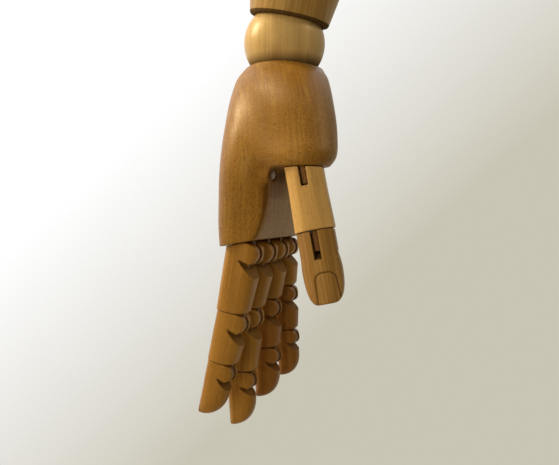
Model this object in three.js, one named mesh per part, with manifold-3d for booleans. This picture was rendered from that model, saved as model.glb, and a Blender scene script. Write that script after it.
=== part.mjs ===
// A life-size jointed wooden hand with its wrist ball and the end of its forearm.
// Millimetres, +Z up. The origin is the middle of the forearm's sawn top face and Z is the
// forearm's axis. The palm faces +X, the thumb side faces -Y and the fingers hang down.

import * as THREE from 'three';
import { mergeVertices } from 'three/addons/utils/BufferGeometryUtils.js';
import Module from 'manifold-3d';

const wasm = await Module();
wasm.setup();

// Fits and facets
const FIT_GAP = 0.3;
const BALL_GAP = 0.4;
const ROUND_STEPS = 32;
const DIGIT_STEPS = 16;
const PALM_STEPS = 30;
const BALL_RINGS = 14;
const PIN_STEPS = 8;
const BOLT_STEPS = 16;
const SCREW_STEPS = 12;
const SOCKET_RINGS = 6;
const SIDE_STEPS = 5;
const TONGUE_ARC_STEPS = 8;

// Forearm end and wrist ball
const FOREARM_LENGTH = 60;
const FOREARM_TOP_RADIUS = 30;
const FOREARM_SWELL = 1.5;
const FOREARM_TOP_BEVEL = 1.2;
const FOREARM_RIM_HEIGHT = 12;
const FOREARM_LIP_WIDTH = 3;
const FOREARM_LIP_BEVEL = 1.3;
const BALL_RADIUS = 21.6;

// Steel and brass inside the wrist
const BOLT_RADIUS = 3;
const BOLT_REACH = 37;
const EYE_RADIUS = 5.4;
const CROSS_PIN_RADIUS = 2;
const CROSS_PIN_LENGTH = 24;
const STUD_REACH = 42;
const STUD_BITE = 9;
const INSERT_RADIUS = 5;
const INSERT_LENGTH = 13;
const INSERT_RECESS = 1;
const BORE_SPARE = 3;

// Pose of the wrist in which the hand is drawn, and how far the ball can tilt either way
const WRIST_BEND = 12;
const WRIST_TILT_LIMIT = 36;

// Palm block, measured down from the middle of the ball
const PALM_RIM_DROP = 12.3;
const PALM_RIM_WALL = 1.2;
const PALM_RIM_DIP = 1.8;
const SHOULDER_DROP = 69.6;
const PALM_FACE = 9.6;
const PALM_FACE_TOP = 24.2;
const PALM_FACE_FLAT_DROP = 86;
const PALM_FACE_CURVE_DROP = 100.5;
const PALM_FACE_END = { x: -3, drop: 107.5 };
const KNUCKLE_DROP = 105;
const KNUCKLE_BACK = -12.2;
const KNUCKLE_RISE_TO_PALM = 9.3;
const KNUCKLE_RISE_TO_LITTLE = 2.2;
const PALM_CUT_DEPTH = 80;
const SKIN_TIGHTNESS = 14;
const WEB_FILLET = 2.4;
const WEB_FILLET_NEAR = -41;
const WEB_FILLET_FAR = -26;

// Hinges of fingers and thumb
const TONGUE_THICKNESS = 2.6;
const TONGUE_SHARE = 0.55;
const TONGUE_SEAT = 8;
const TONGUE_RECESS = 2.4;
const PIN_RADIUS = 0.8;
const PIN_BITE = 3.2;
const DORSAL_STEP = 0.5;
const NOTCH_ANGLE = 44;
const NOTCH_SIDE_TIP = { x: -0.64, z: -0.45 };
const NOTCH_SIDE_ARC_END = -50;
const NOTCH_INNER_TIP_X = 0.07;
const NOTCH_ARC_STEPS = 10;
const SLOT_DEEP_SHARE = 1.4;
const SLOT_SHALLOW_SHARE = 0.55;
const SLOT_ARC_STEPS = 3;
const DIGIT_CUT_REACH = 60;
const HEAD_SQUARENESS = 3.3;
const TAIL_SQUARENESS = 2.6;
const TAIL_BEVEL = 1.5;

// Tips: length and blunt edge as shares of the depth, and how round the front and the sides are
const TIP_LENGTH_SHARE = 1.05;
const TIP_EDGE_SHARE = 0.14;
const TIP_FRONT_POWER = 2.2;
const TIP_SIDE_POWER = 2.6;
const TIP_LEAST_WIDTH = 0.3;
const TIP_RING_SHARES = [0, 0.3, 0.56, 0.76, 0.9, 0.97, 1];

// Fingers: place across the palm, lean of each hinge towards the back, lengths of the three pieces.
// Pieces: depth and width at head and tail, drop of the pin, extra slot depth, furthest bend.
const FINGER_PIN_OFFSET = 3.2;
const FINGERS = [
  { name: 'index', across: -27.5, leans: [20.6, 2.5, 0], lengths: [37.2, 27.3, 29.2], girth: 1 },
  { name: 'middle', across: -8.8, leans: [21, -7, -8], lengths: [36.3, 34.4, 29], girth: 1.03 },
  { name: 'ring', across: 9.3, leans: [16, -8.5, -1], lengths: [32.8, 27, 27.5], girth: 0.98 },
  { name: 'little', across: 26, leans: [8.5, -3, -3], lengths: [27, 25, 25.5], girth: 0.87 },
];
const FINGER_PIECES = [
  { part: 'proximal', head: [18.8, 16.4], tail: [17.2, 15.6], drop: 6.2, slotReach: 2.5, bend: 80 },
  { part: 'middle', head: [17.4, 14.6], tail: [15.8, 13.8], drop: 5.7, slotReach: 2.5, bend: 85 },
  { part: 'distal', head: [15.6, 13], tail: [14.2, 12.4], drop: 5.1, slotReach: 2, bend: 60 },
];

// Thumb: place of its top on the shoulder, the way it is turned, its lean, and its two pieces
const THUMB_PLACE = { x: 29.4, y: -46 };
const THUMB_TURN = 101.5;
const THUMB_BACK_LEANS = [3.4, 0];
const THUMB_SIDE_LEAN = -10.9;
const THUMB_LENGTHS = [31.3, 34.9];
const THUMB_PIECES = [
  { part: 'proximal', head: [18, 18.2], tail: [17.4, 19.4], drop: 6, slotReach: 0.6, bend: 45 },
  { part: 'distal', head: [16, 18.2], tail: [16.4, 19.2], drop: 6.4, slotReach: 4, bend: 60 },
];
const THUMB_SIDE_ROOM = 1.9;

// Screw in the corner between thumb and palm
const SCREW_HEAD_RADIUS = 2.6;
const SCREW_HEAD_HEIGHT = 1.5;
const SCREW_SHANK_RADIUS = 1.1;
const SCREW_SHANK_LENGTH = 8;
const SCREW_SLOT_WIDTH = 0.7;
const SCREW_SLOT_DEPTH = 0.7;
const SCREW_CROWN_SHARE = 0.6;
const SCREW_PLACE = { y: -39.6, drop: 72.4 };
const SCREW_TURN = -22;
const SCREW_SEAT_ROOM = 0.6;

const degrees = THREE.MathUtils.degToRad;

// Materials, with the colours of the lacquered wood and the bare metal
const finish = (color, roughness, metalness) =>
  new THREE.MeshStandardMaterial({ color, roughness, metalness });
const paleWood = finish(0xc69a5b, 0.4, 0);
const palmWood = finish(0x9c6a2f, 0.38, 0);
const fingerWood = finish(0xa5722f, 0.42, 0);
const thumbWood = finish(0xb9853f, 0.42, 0);
const tongueWood = finish(0x7d4f22, 0.5, 0);
const steel = finish(0xb4b2ac, 0.35, 1);
const brass = finish(0xb08d4a, 0.35, 1);

// Makes a closed solid of a geometry, without the empty triangles on a lathe's axis.
function solidOf(geometry) {
  const bare = geometry.clone();
  bare.deleteAttribute('normal');
  bare.deleteAttribute('uv');
  const merged = mergeVertices(bare);
  const corners = merged.index.array;
  const kept = [];
  for (let i = 0; i < corners.length; i += 3) {
    const [a, b, c] = [corners[i], corners[i + 1], corners[i + 2]];
    if (a !== b && b !== c && c !== a) {
      kept.push(a, b, c);
    }
  }
  return new wasm.Manifold(new wasm.Mesh({
    numProp: 3,
    vertProperties: new Float32Array(merged.attributes.position.array),
    triVerts: new Uint32Array(kept),
  }));
}

// Turns a solid back into a named mesh.
function meshOf(solid, name, material) {
  const data = solid.getMesh();
  const geometry = new THREE.BufferGeometry();
  geometry.setAttribute('position', new THREE.BufferAttribute(data.vertProperties, 3));
  geometry.setIndex(new THREE.BufferAttribute(data.triVerts, 1));
  geometry.computeVertexNormals();
  const mesh = new THREE.Mesh(geometry, material);
  mesh.name = name;
  return mesh;
}

// A solid of revolution about Z from [radius, height] pairs that run counterclockwise.
function turned(profile, steps) {
  const lathe = new THREE.LatheGeometry(profile.map(([r, z]) => new THREE.Vector2(r, z)), steps);
  return lathe.rotateX(Math.PI / 2);
}

// A round bar along Z between two heights.
function bar(radius, low, high, steps) {
  const cylinder = new THREE.CylinderGeometry(radius, radius, high - low, steps);
  return cylinder.rotateX(Math.PI / 2).translate(0, 0, (low + high) / 2);
}

// A round bar along Y, centred on the origin.
function crossBar(radius, length, steps) {
  return new THREE.CylinderGeometry(radius, radius, length, steps);
}

// A box between two corners.
function block(low, high) {
  const size = high.map((value, i) => value - low[i]);
  const middle = high.map((value, i) => (value + low[i]) / 2);
  return new THREE.BoxGeometry(...size).translate(...middle);
}

// A plate: a shape drawn in X and Z, as thick as asked along Y and centred on Y = middle.
function plate(shape, thickness, middle = 0, curveSegments = 10) {
  const extruded = new THREE.ExtrudeGeometry(shape, {
    depth: thickness, bevelEnabled: false, curveSegments,
  });
  return extruded.rotateX(Math.PI / 2).translate(0, middle + thickness / 2, 0);
}

// One ring of a loft: a rounded outline between back and front (X) and two sides (Y).
function ring(z, back, front, near, far, squareness, steps) {
  const points = [];
  const power = 2 / squareness;
  for (let i = 0; i < steps; i += 1) {
    const turn = (2 * Math.PI * i) / steps;
    const c = Math.cos(turn);
    const s = Math.sin(turn);
    const x = (back + front) / 2 + ((front - back) / 2) * Math.sign(c) * Math.abs(c) ** power;
    const y = (near + far) / 2 + ((far - near) / 2) * Math.sign(s) * Math.abs(s) ** power;
    points.push(new THREE.Vector3(x, y, z));
  }
  return points;
}

// A closed skin through rings of equal count, from the top ring down, with flat ends.
function loft(rings) {
  const count = rings[0].length;
  const index = [];
  for (let r = 0; r < rings.length - 1; r += 1) {
    for (let i = 0; i < count; i += 1) {
      const a = r * count + i;
      const b = r * count + ((i + 1) % count);
      index.push(a, a + count, b, b, a + count, b + count);
    }
  }
  const last = (rings.length - 1) * count;
  for (let i = 1; i < count - 1; i += 1) {
    index.push(0, i, i + 1);
    index.push(last, last + i + 1, last + i);
  }
  const geometry = new THREE.BufferGeometry().setFromPoints(rings.flat());
  geometry.setIndex(index);
  return geometry;
}

// Points of a ball's outline in [radius, height], from one height to another, about height 0.
function ballArc(radius, fromHeight, toHeight, steps) {
  const from = Math.asin(fromHeight / radius);
  const to = Math.asin(toHeight / radius);
  return Array.from({ length: steps + 1 }, (_, i) => {
    const turn = from + ((to - from) * i) / steps;
    return [radius * Math.cos(turn), radius * Math.sin(turn)];
  });
}

const part = new THREE.Group();

// Forearm end: a turned cone whose lower end is hollowed for the ball
const ballHeight = -FOREARM_LENGTH - FOREARM_RIM_HEIGHT;
const socketRadius = BALL_RADIUS + BALL_GAP;
const insertBore = INSERT_RADIUS + FIT_GAP;
const boltTop = BOLT_REACH + BORE_SPARE;
const socketTop = Math.sqrt(socketRadius ** 2 - insertBore ** 2);
const insertTop = socketRadius + INSERT_RECESS + INSERT_LENGTH + FIT_GAP;
const rimInner = Math.sqrt(socketRadius ** 2 - FOREARM_RIM_HEIGHT ** 2);
const rimOuter = rimInner + FOREARM_LIP_WIDTH;
const topHeight = FOREARM_LENGTH + FOREARM_RIM_HEIGHT;
const boltBore = BOLT_RADIUS + FIT_GAP;

const sideBottom = FOREARM_RIM_HEIGHT + FOREARM_LIP_BEVEL;
const forearmSide = new THREE.QuadraticBezierCurve(
  new THREE.Vector2(rimOuter, sideBottom),
  new THREE.Vector2((rimOuter + FOREARM_TOP_RADIUS) / 2 + FOREARM_SWELL, (sideBottom + topHeight) / 2),
  new THREE.Vector2(FOREARM_TOP_RADIUS, topHeight - FOREARM_TOP_BEVEL),
).getPoints(SIDE_STEPS).map((p) => [p.x, p.y]);

const forearmProfile = [
  [0, boltTop],
  [boltBore, boltTop],
  [boltBore, insertTop],
  [insertBore, insertTop],
  ...ballArc(socketRadius, socketTop, FOREARM_RIM_HEIGHT, SOCKET_RINGS),
  ...forearmSide,
  [FOREARM_TOP_RADIUS - FOREARM_TOP_BEVEL, topHeight],
  [0, topHeight],
];
const wrist = new THREE.Group();
wrist.position.z = ballHeight;
part.add(wrist);
wrist.add(meshOf(solidOf(turned(forearmProfile, ROUND_STEPS)), 'forearm', paleWood));

// Brass insert in the forearm and the eye bolt that turns in it
function insertProfile(low, high) {
  return [[boltBore, low], [INSERT_RADIUS, low], [INSERT_RADIUS, high], [boltBore, high], [boltBore, low]];
}
const insertLow = socketRadius + INSERT_RECESS;
const wristInsert = turned(insertProfile(insertLow, insertLow + INSERT_LENGTH), BOLT_STEPS);
wrist.add(meshOf(solidOf(wristInsert), 'wrist_insert', brass));

const eyeWidth = 2 * BOLT_RADIUS;
const eyeBolt = solidOf(crossBar(EYE_RADIUS, eyeWidth, BOLT_STEPS))
  .add(solidOf(bar(BOLT_RADIUS, EYE_RADIUS / 2, BOLT_REACH, BOLT_STEPS)))
  .subtract(solidOf(crossBar(CROSS_PIN_RADIUS + FIT_GAP, 2 * eyeWidth, BOLT_STEPS)));
wrist.add(meshOf(eyeBolt, 'wrist_eye_bolt', steel));

// Everything below the eye bolt tilts with the ball
const tilted = new THREE.Group();
tilted.rotation.y = -degrees(WRIST_BEND);
wrist.add(tilted);

// Wrist ball: turned, with a fan-shaped slot for the bolt, a cross bore and a bore for the stud
const slotHalf = BOLT_RADIUS + FIT_GAP;
const fan = new THREE.Shape();
const fanEdge = (side, height) => new THREE.Vector2(side * slotHalf, height)
  .rotateAround(new THREE.Vector2(), -side * degrees(WRIST_TILT_LIMIT));
fan.setFromPoints([
  fanEdge(-1, 0), fanEdge(1, 0), fanEdge(1, 2 * BALL_RADIUS), fanEdge(-1, 2 * BALL_RADIUS),
]);
const slotWidth = eyeWidth + 2 * FIT_GAP;
const ballProfile = ballArc(BALL_RADIUS, -BALL_RADIUS, BALL_RADIUS, BALL_RINGS);
const studTop = STUD_BITE - BALL_RADIUS;
const studBore = BOLT_RADIUS + FIT_GAP;
const ball = solidOf(turned(ballProfile, ROUND_STEPS))
  .subtract(solidOf(plate(fan, slotWidth)))
  .subtract(solidOf(crossBar(EYE_RADIUS + FIT_GAP, slotWidth, BOLT_STEPS)))
  .subtract(solidOf(crossBar(CROSS_PIN_RADIUS + FIT_GAP, CROSS_PIN_LENGTH + 2 * FIT_GAP, BOLT_STEPS)))
  .subtract(solidOf(bar(studBore, -2 * BALL_RADIUS, studTop + FIT_GAP, BOLT_STEPS)));
tilted.add(meshOf(ball, 'wrist_ball', paleWood));
const crossPin = crossBar(CROSS_PIN_RADIUS, CROSS_PIN_LENGTH, BOLT_STEPS);
tilted.add(meshOf(solidOf(crossPin), 'wrist_cross_pin', steel));
tilted.add(meshOf(solidOf(bar(BOLT_RADIUS, -STUD_REACH, studTop, BOLT_STEPS)), 'palm_stud', steel));

const palmInsertTop = -socketRadius - INSERT_RECESS;
const palmInsert = turned(insertProfile(palmInsertTop - INSERT_LENGTH, palmInsertTop), BOLT_STEPS);
tilted.add(meshOf(solidOf(palmInsert), 'palm_insert', brass));

// Hinges: each holds a tongue that is let into the parent piece, a pin, and the group of the child piece.
// The parent's end is the plane Z = 0 of the seat group, and the pin lies below it. The tongue's back
// edge lies a little inside the back of the child.
function hingeAt(seat, { name, x, y, drop, back, lean = 0, sideLean = 0 }) {
  const hinge = new THREE.Group();
  hinge.position.set(x, y, -drop);
  hinge.rotation.x = degrees(sideLean);
  seat.add(hinge);
  const child = new THREE.Group();
  child.rotation.y = degrees(lean);
  hinge.add(child);

  const tongueRadius = drop * TONGUE_SHARE;
  const tongueTop = drop + TONGUE_SEAT;
  const turn = degrees(lean);
  const leant = (along, up) => new THREE.Vector2(
    along * Math.cos(turn) + up * Math.sin(turn),
    up * Math.cos(turn) - along * Math.sin(turn),
  );
  const backLow = leant(back + TONGUE_RECESS, -tongueRadius);
  const roundStart = leant(0, -tongueRadius);
  const tongueBack = backLow.x + (drop - backLow.y) * Math.tan(turn);
  const outline = new THREE.Shape();
  outline.moveTo(tongueRadius, tongueTop);
  outline.lineTo(tongueBack, tongueTop);
  outline.lineTo(tongueBack, drop);
  outline.lineTo(backLow.x, backLow.y);
  outline.lineTo(roundStart.x, roundStart.y);
  outline.absarc(0, 0, tongueRadius, 1.5 * Math.PI - turn, 2 * Math.PI, false);
  outline.closePath();
  const bore = crossBar(PIN_RADIUS + FIT_GAP, 2 * TONGUE_THICKNESS, PIN_STEPS);
  const tongue = solidOf(plate(outline, TONGUE_THICKNESS, 0, TONGUE_ARC_STEPS)).subtract(solidOf(bore));
  hinge.add(meshOf(tongue, `${name}_tongue`, tongueWood));

  const pinLength = TONGUE_THICKNESS + 2 * (FIT_GAP + PIN_BITE);
  hinge.add(meshOf(solidOf(crossBar(PIN_RADIUS, pinLength, PIN_STEPS)), `${name}_pin`, steel));

  hinge.updateMatrix();
  child.updateMatrix();
  const seatToChild = new THREE.Matrix4().multiplyMatrices(hinge.matrix, child.matrix).invert();
  const half = TONGUE_THICKNESS / 2 + FIT_GAP;
  const mortise = block(
    [tongueBack - FIT_GAP, -half, 0],
    [tongueRadius + FIT_GAP, half, tongueTop + FIT_GAP],
  ).applyMatrix4(hinge.matrix);
  return { child, mortise, seatToChild, tongueRadius, pinLength, lean };
}

// The round of the cheeks and the notch under them, drawn in X and Z at one depth of the finger. The
// notch's lower face is one slanted plane, and the round above it ends at the notch's tip.
function cheekOutline(lobe, up, arcEnd, tip) {
  const out = 3 * lobe;
  const points = [
    new THREE.Vector2(tip.x, tip.z),
    new THREE.Vector2(tip.x + out, tip.z - out * Math.tan(degrees(NOTCH_ANGLE))),
    new THREE.Vector2(tip.x + out, out),
    new THREE.Vector2(out * Math.cos(up), out * Math.sin(up)),
  ];
  for (let i = 0; i <= NOTCH_ARC_STEPS; i += 1) {
    const turn = up + ((arcEnd - up) * i) / NOTCH_ARC_STEPS;
    points.push(new THREE.Vector2(lobe * Math.cos(turn), lobe * Math.sin(turn)));
  }
  return points;
}

// The part of a child piece that its hinge takes away: all above the parent's end face, the round
// of the cheeks with the notch under them, the slot for the tongue and the bore for the pin.
function hingeCuts(hinge, lobe, half, { slotReach, bend }) {
  const wide = DIGIT_CUT_REACH;
  const above = block([-wide, -wide, -FIT_GAP], [wide, wide, wide]).applyMatrix4(hinge.seatToChild);

  // The notch is scooped: it reaches further back at the sides of the finger than beside the slot
  const slotHalf = TONGUE_THICKNESS / 2 + FIT_GAP;
  const up = degrees(90 + hinge.lean);
  const sideTip = { x: NOTCH_SIDE_TIP.x * lobe, z: NOTCH_SIDE_TIP.z * lobe };
  const innerX = NOTCH_INNER_TIP_X * lobe;
  const innerTip = { x: innerX, z: sideTip.z - (innerX - sideTip.x) * Math.tan(degrees(NOTCH_ANGLE)) };
  const innerArcEnd = Math.atan2(innerTip.z, innerTip.x);
  const side = cheekOutline(lobe, up, degrees(NOTCH_SIDE_ARC_END), sideTip);
  const inner = cheekOutline(lobe, up, innerArcEnd, innerTip);
  const sideDepth = half + FIT_GAP;
  const cheek = loft([[sideDepth, side], [slotHalf, inner], [-slotHalf, inner], [-sideDepth, side]].map(
    ([depth, outline]) => outline.map((p) => new THREE.Vector3(p.x, p.y, depth)),
  )).rotateX(Math.PI / 2);

  // The slot goes deeper at the back, and its floor rises at the front as far as the bend allows
  const swing = hinge.tongueRadius + FIT_GAP;
  const reach = degrees(bend - hinge.lean);
  const slot = new THREE.Shape();
  slot.moveTo(-wide, wide);
  slot.lineTo(-wide, -swing - slotReach);
  slot.lineTo(-SLOT_DEEP_SHARE * swing, -swing - slotReach);
  slot.lineTo(-SLOT_SHALLOW_SHARE * swing, -swing);
  for (let i = 0; i <= SLOT_ARC_STEPS; i += 1) {
    const down = Math.PI / 2 - ((Math.PI / 2 - reach) * i) / SLOT_ARC_STEPS;
    slot.lineTo(swing * Math.cos(down), -swing * Math.sin(down));
  }
  slot.lineTo(
    swing * Math.cos(reach) + wide * Math.sin(reach),
    wide * Math.cos(reach) - swing * Math.sin(reach),
  );
  slot.lineTo(2 * wide, wide);
  slot.closePath();
  return [
    above,
    cheek,
    plate(slot, 2 * slotHalf),
    crossBar(PIN_RADIUS + FIT_GAP, hinge.pinLength + 2 * FIT_GAP, PIN_STEPS),
  ];
}

// Rings of a digit's piece about its pin. The back stays straight and the front tapers.
function pieceRings(piece, lobe, length, drop) {
  const front = lobe + FIT_GAP;
  const back = front - piece.head[0];
  const top = 2 * drop;
  const low = drop - length;
  const tailDepth = piece.tail[0];
  const headHalf = piece.head[1] / 2;
  const tailHalf = piece.tail[1] / 2;
  const digitRing = (z, ringFront, half, squareness = TAIL_SQUARENESS) =>
    ring(z, back, ringFront, -half, half, squareness, DIGIT_STEPS);
  const rings = [
    digitRing(top, front, headHalf, HEAD_SQUARENESS),
    digitRing(-drop, front, headHalf, HEAD_SQUARENESS),
  ];
  if (piece.part !== 'distal') {
    rings.push(digitRing(low + TAIL_BEVEL, back + tailDepth, tailHalf));
    rings.push(digitRing(low, back + tailDepth - TAIL_BEVEL, tailHalf));
    return { rings, back, low };
  }
  // The tip: the back runs straight on to a blunt edge, and the front and the sides round off to it
  const tipLength = TIP_LENGTH_SHARE * tailDepth;
  const edgeDepth = TIP_EDGE_SHARE * tailDepth;
  TIP_RING_SHARES.forEach((share) => {
    const roundFront = (1 - share ** TIP_FRONT_POWER) ** (1 / TIP_FRONT_POWER);
    const roundSide = (1 - share ** TIP_SIDE_POWER) ** (1 / TIP_SIDE_POWER);
    const ringFront = back + edgeDepth + (tailDepth - edgeDepth) * roundFront;
    const ringHalf = tailHalf * (TIP_LEAST_WIDTH + (1 - TIP_LEAST_WIDTH) * roundSide);
    rings.push(digitRing(low + tipLength * (1 - share), ringFront, ringHalf));
  });
  return { rings, back, low };
}

// A digit: a chain of pieces, each hinged to the one before. Returns the cut for its first tongue.
function addDigit(seat, first, { name, pieces, lengths, leans, girth, sideRoom, material }) {
  let parent = seat;
  let place = first;
  let parentSolid = null;
  let parentGroup = null;
  let parentName = null;
  let firstMortise = null;
  pieces.forEach((plain, i) => {
    const piece = {
      part: plain.part,
      head: plain.head.map((size) => size * girth),
      tail: plain.tail.map((size) => size * girth),
    };
    const drop = plain.drop * girth;
    const lobe = drop - FIT_GAP - (i === 0 ? sideRoom : 0);
    const rings = pieceRings(piece, lobe, lengths[i], drop);
    const x = i === 0 ? place.x : place.back + DORSAL_STEP - rings.back;
    const hinge = hingeAt(parent, {
      name: `${name}_${plain.part}`,
      x,
      y: place.y,
      drop,
      back: rings.back,
      lean: leans[i],
      sideLean: place.sideLean,
    });
    if (parentSolid) {
      const mortised = parentSolid.subtract(solidOf(hinge.mortise.translate(0, 0, place.low)));
      parentGroup.add(meshOf(mortised, parentName, material));
    } else {
      firstMortise = hinge.mortise;
    }
    const shaped = hingeCuts(hinge, lobe, piece.head[1] / 2, plain)
      .reduce((left, cut) => left.subtract(solidOf(cut)), solidOf(loft(rings.rings)));
    parentSolid = shaped;
    parentGroup = hinge.child;
    parentName = `${name}_${plain.part}`;
    const end = new THREE.Group();
    end.position.z = rings.low;
    hinge.child.add(end);
    parent = end;
    place = { y: 0, back: rings.back, low: rings.low };
  });
  parentGroup.add(meshOf(parentSolid, parentName, material));
  return firstMortise;
}

// Palm block: the hand's slab joined with the swelling at the thumb's root
const rimRadius = Math.sqrt(socketRadius ** 2 - PALM_RIM_DROP ** 2) + PALM_RIM_WALL;
const palmRing = (z, back, front, near, far, squareness) =>
  ring(z, back, front, near, far, squareness, PALM_STEPS);
const slab = loft([
  palmRing(-PALM_RIM_DROP, -rimRadius, rimRadius, -rimRadius, rimRadius, 2),
  palmRing(-18, -24.4, 23, -24.5, 23.5, 2.1),
  palmRing(-29, -26.2, 24, -34, 29.5, 2.1),
  palmRing(-46, -26.6, 22, -45.5, 34.5, 2.2),
  palmRing(-60, -26.7, 20, -48.5, 36.5, 2.25),
  palmRing(-72, -26.7, 19, -48, 37, 2.4),
  palmRing(-86, -26.7, 18, -44.6, 37.2, 2.9),
  palmRing(-98, -26.4, 16, -41.6, 36.8, 3.4),
  palmRing(-114, -25.4, 12, -39.4, 35.8, 3.6),
]);

// The palm's face: sloped down from the wrist, flat below the shoulder, rounded over to the knuckles
const faceCut = new THREE.Shape();
const faceFar = { x: PALM_CUT_DEPTH, drop: KNUCKLE_DROP + PALM_CUT_DEPTH };
const faceFall = faceFar.drop - PALM_FACE_END.drop;
faceCut.moveTo(faceFar.x, -PALM_RIM_DROP);
faceCut.lineTo(PALM_FACE_TOP, -PALM_RIM_DROP);
faceCut.lineTo(PALM_FACE, -SHOULDER_DROP);
faceCut.lineTo(PALM_FACE, -PALM_FACE_FLAT_DROP);
faceCut.quadraticCurveTo(PALM_FACE, -PALM_FACE_CURVE_DROP, PALM_FACE_END.x, -PALM_FACE_END.drop);
faceCut.lineTo(PALM_FACE_END.x - faceFall / 2, -faceFar.drop);
faceCut.lineTo(faceFar.x, -faceFar.drop);
faceCut.closePath();

// The rim dips towards the back and the face of the hand
const rimCut = new THREE.Shape();
const rimLow = -PALM_RIM_DROP - PALM_RIM_DIP;
rimCut.moveTo(-PALM_CUT_DEPTH, 0);
rimCut.lineTo(-PALM_CUT_DEPTH, rimLow);
rimCut.lineTo(-rimRadius, rimLow);
rimCut.quadraticCurveTo(0, -PALM_RIM_DROP + PALM_RIM_DIP, rimRadius, rimLow);
rimCut.lineTo(PALM_CUT_DEPTH, rimLow);
rimCut.lineTo(PALM_CUT_DEPTH, 0);
rimCut.closePath();

// The swelling at the thumb's root: each ring runs round three circles, one in the slab's near edge,
// one over the thumb and one in the middle of the palm, as a skin stretched over them would
function thenarRing(z, circles) {
  const middle = circles.reduce((sum, c) => sum.add(new THREE.Vector2(c[0], c[1])), new THREE.Vector2())
    .divideScalar(circles.length);
  const points = [];
  for (let i = 0; i < PALM_STEPS; i += 1) {
    const turn = (2 * Math.PI * i) / PALM_STEPS;
    const out = new THREE.Vector2(Math.cos(turn), Math.sin(turn));
    const along = new THREE.Vector2(-out.y, out.x);
    let total = 0;
    let slope = 0;
    circles.forEach(([x, y, radius]) => {
      const offset = new THREE.Vector2(x, y).sub(middle);
      const reach = Math.max(0, offset.dot(out) + radius);
      total += reach ** SKIN_TIGHTNESS;
      slope += reach ** (SKIN_TIGHTNESS - 1) * offset.dot(along);
    });
    const reach = total ** (1 / SKIN_TIGHTNESS);
    const point = middle.clone()
      .addScaledVector(out, reach)
      .addScaledVector(along, (slope * reach) / total);
    points.push(new THREE.Vector3(point.x, point.y, z));
  }
  return points;
}
const thenar = loft([
  thenarRing(-PALM_RIM_DROP - PALM_RIM_WALL, [[-1, 0, 16.4], [2, -1, 16.6], [1, 2, 16]]),
  thenarRing(-18.5, [[-2, -5, 16.6], [5, -5, 18.4], [1, 3, 17.4]]),
  thenarRing(-25, [[-5, -14.4, 14.4], [8.4, -12, 19.4], [2, 9, 16.6]]),
  thenarRing(-38, [[-5, -26.4, 12.8], [16.4, -24.8, 18.8], [2, 12, 13]]),
  thenarRing(-51, [[-3, -34.4, 11.2], [22.8, -34.4, 17.8], [2, 12, 9.2]]),
  thenarRing(-57, [[-1.6, -37.4, 9.6], [24.6, -38.6, 17.2], [2, 11, 7.4]]),
  thenarRing(-61, [[0.4, -39.6, 8.2], [25.6, -40.8, 16.8], [2, 9, 6.2]]),
  thenarRing(-64.6, [[2.4, -40.8, 6.2], [26, -42, 16.3], [2, 6, 5]]),
  thenarRing(-67.6, [[4.6, -41.8, 4.2], [26.2, -42.8, 15], [2, 2, 4]]),
  thenarRing(-SHOULDER_DROP, [[6.4, -42.4, 2.6], [26.2, -43.2, 12.9], [2, -2, 3]]),
]);

const palm = new THREE.Group();
tilted.add(palm);

const knuckles = new THREE.Group();
knuckles.position.set(KNUCKLE_BACK, 0, -KNUCKLE_DROP);
knuckles.rotation.set(degrees(KNUCKLE_RISE_TO_LITTLE), -degrees(KNUCKLE_RISE_TO_PALM), 0, 'YXZ');
palm.add(knuckles);
knuckles.updateMatrix();

const palmCuts = [];
FINGERS.forEach(({ name, across, leans, lengths, girth }) => {
  const mortise = addDigit(knuckles, { x: FINGER_PIN_OFFSET, y: across }, {
    name, lengths, leans, girth, pieces: FINGER_PIECES, sideRoom: 0, material: fingerWood,
  });
  palmCuts.push(mortise.applyMatrix4(knuckles.matrix));
});

const shoulder = new THREE.Group();
shoulder.position.set(THUMB_PLACE.x, THUMB_PLACE.y, -SHOULDER_DROP);
shoulder.rotation.z = degrees(THUMB_TURN);
palm.add(shoulder);
shoulder.updateMatrix();
const thumbBase = THUMB_PIECES[0];
const thumbFront = thumbBase.drop - THUMB_SIDE_ROOM;
const thumbMortise = addDigit(
  shoulder,
  { x: thumbBase.head[0] / 2 - thumbFront, y: 0, sideLean: THUMB_SIDE_LEAN },
  {
    name: 'thumb', lengths: THUMB_LENGTHS, leans: THUMB_BACK_LEANS, girth: 1, pieces: THUMB_PIECES,
    sideRoom: THUMB_SIDE_ROOM, material: thumbWood,
  },
);
palmCuts.push(thumbMortise.applyMatrix4(shoulder.matrix));

// The rounded corner under the shoulder, between the thumb and the palm's face
const corner = new THREE.Shape();
corner.moveTo(PALM_FACE - WEB_FILLET, WEB_FILLET - SHOULDER_DROP);
corner.lineTo(PALM_FACE - WEB_FILLET, -SHOULDER_DROP - WEB_FILLET);
corner.lineTo(PALM_FACE, -SHOULDER_DROP - WEB_FILLET);
corner.absarc(
  PALM_FACE + WEB_FILLET, -SHOULDER_DROP - WEB_FILLET, WEB_FILLET, Math.PI, Math.PI / 2, true,
);
corner.lineTo(PALM_FACE + WEB_FILLET, WEB_FILLET - SHOULDER_DROP);
corner.closePath();
const fillet = plate(corner, WEB_FILLET_FAR - WEB_FILLET_NEAR, (WEB_FILLET_FAR + WEB_FILLET_NEAR) / 2);

const deep = PALM_CUT_DEPTH;
palmCuts.push(
  plate(rimCut, 2 * deep),
  turned(ballArc(socketRadius, -socketRadius, socketRadius, BALL_RINGS), ROUND_STEPS),
  bar(insertBore, palmInsertTop - INSERT_LENGTH - FIT_GAP, 0, BOLT_STEPS),
  bar(boltBore, -STUD_REACH - BORE_SPARE, 0, BOLT_STEPS),
  block([-deep, -deep, -deep], [deep, deep, 0]).applyMatrix4(knuckles.matrix),
);

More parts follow.
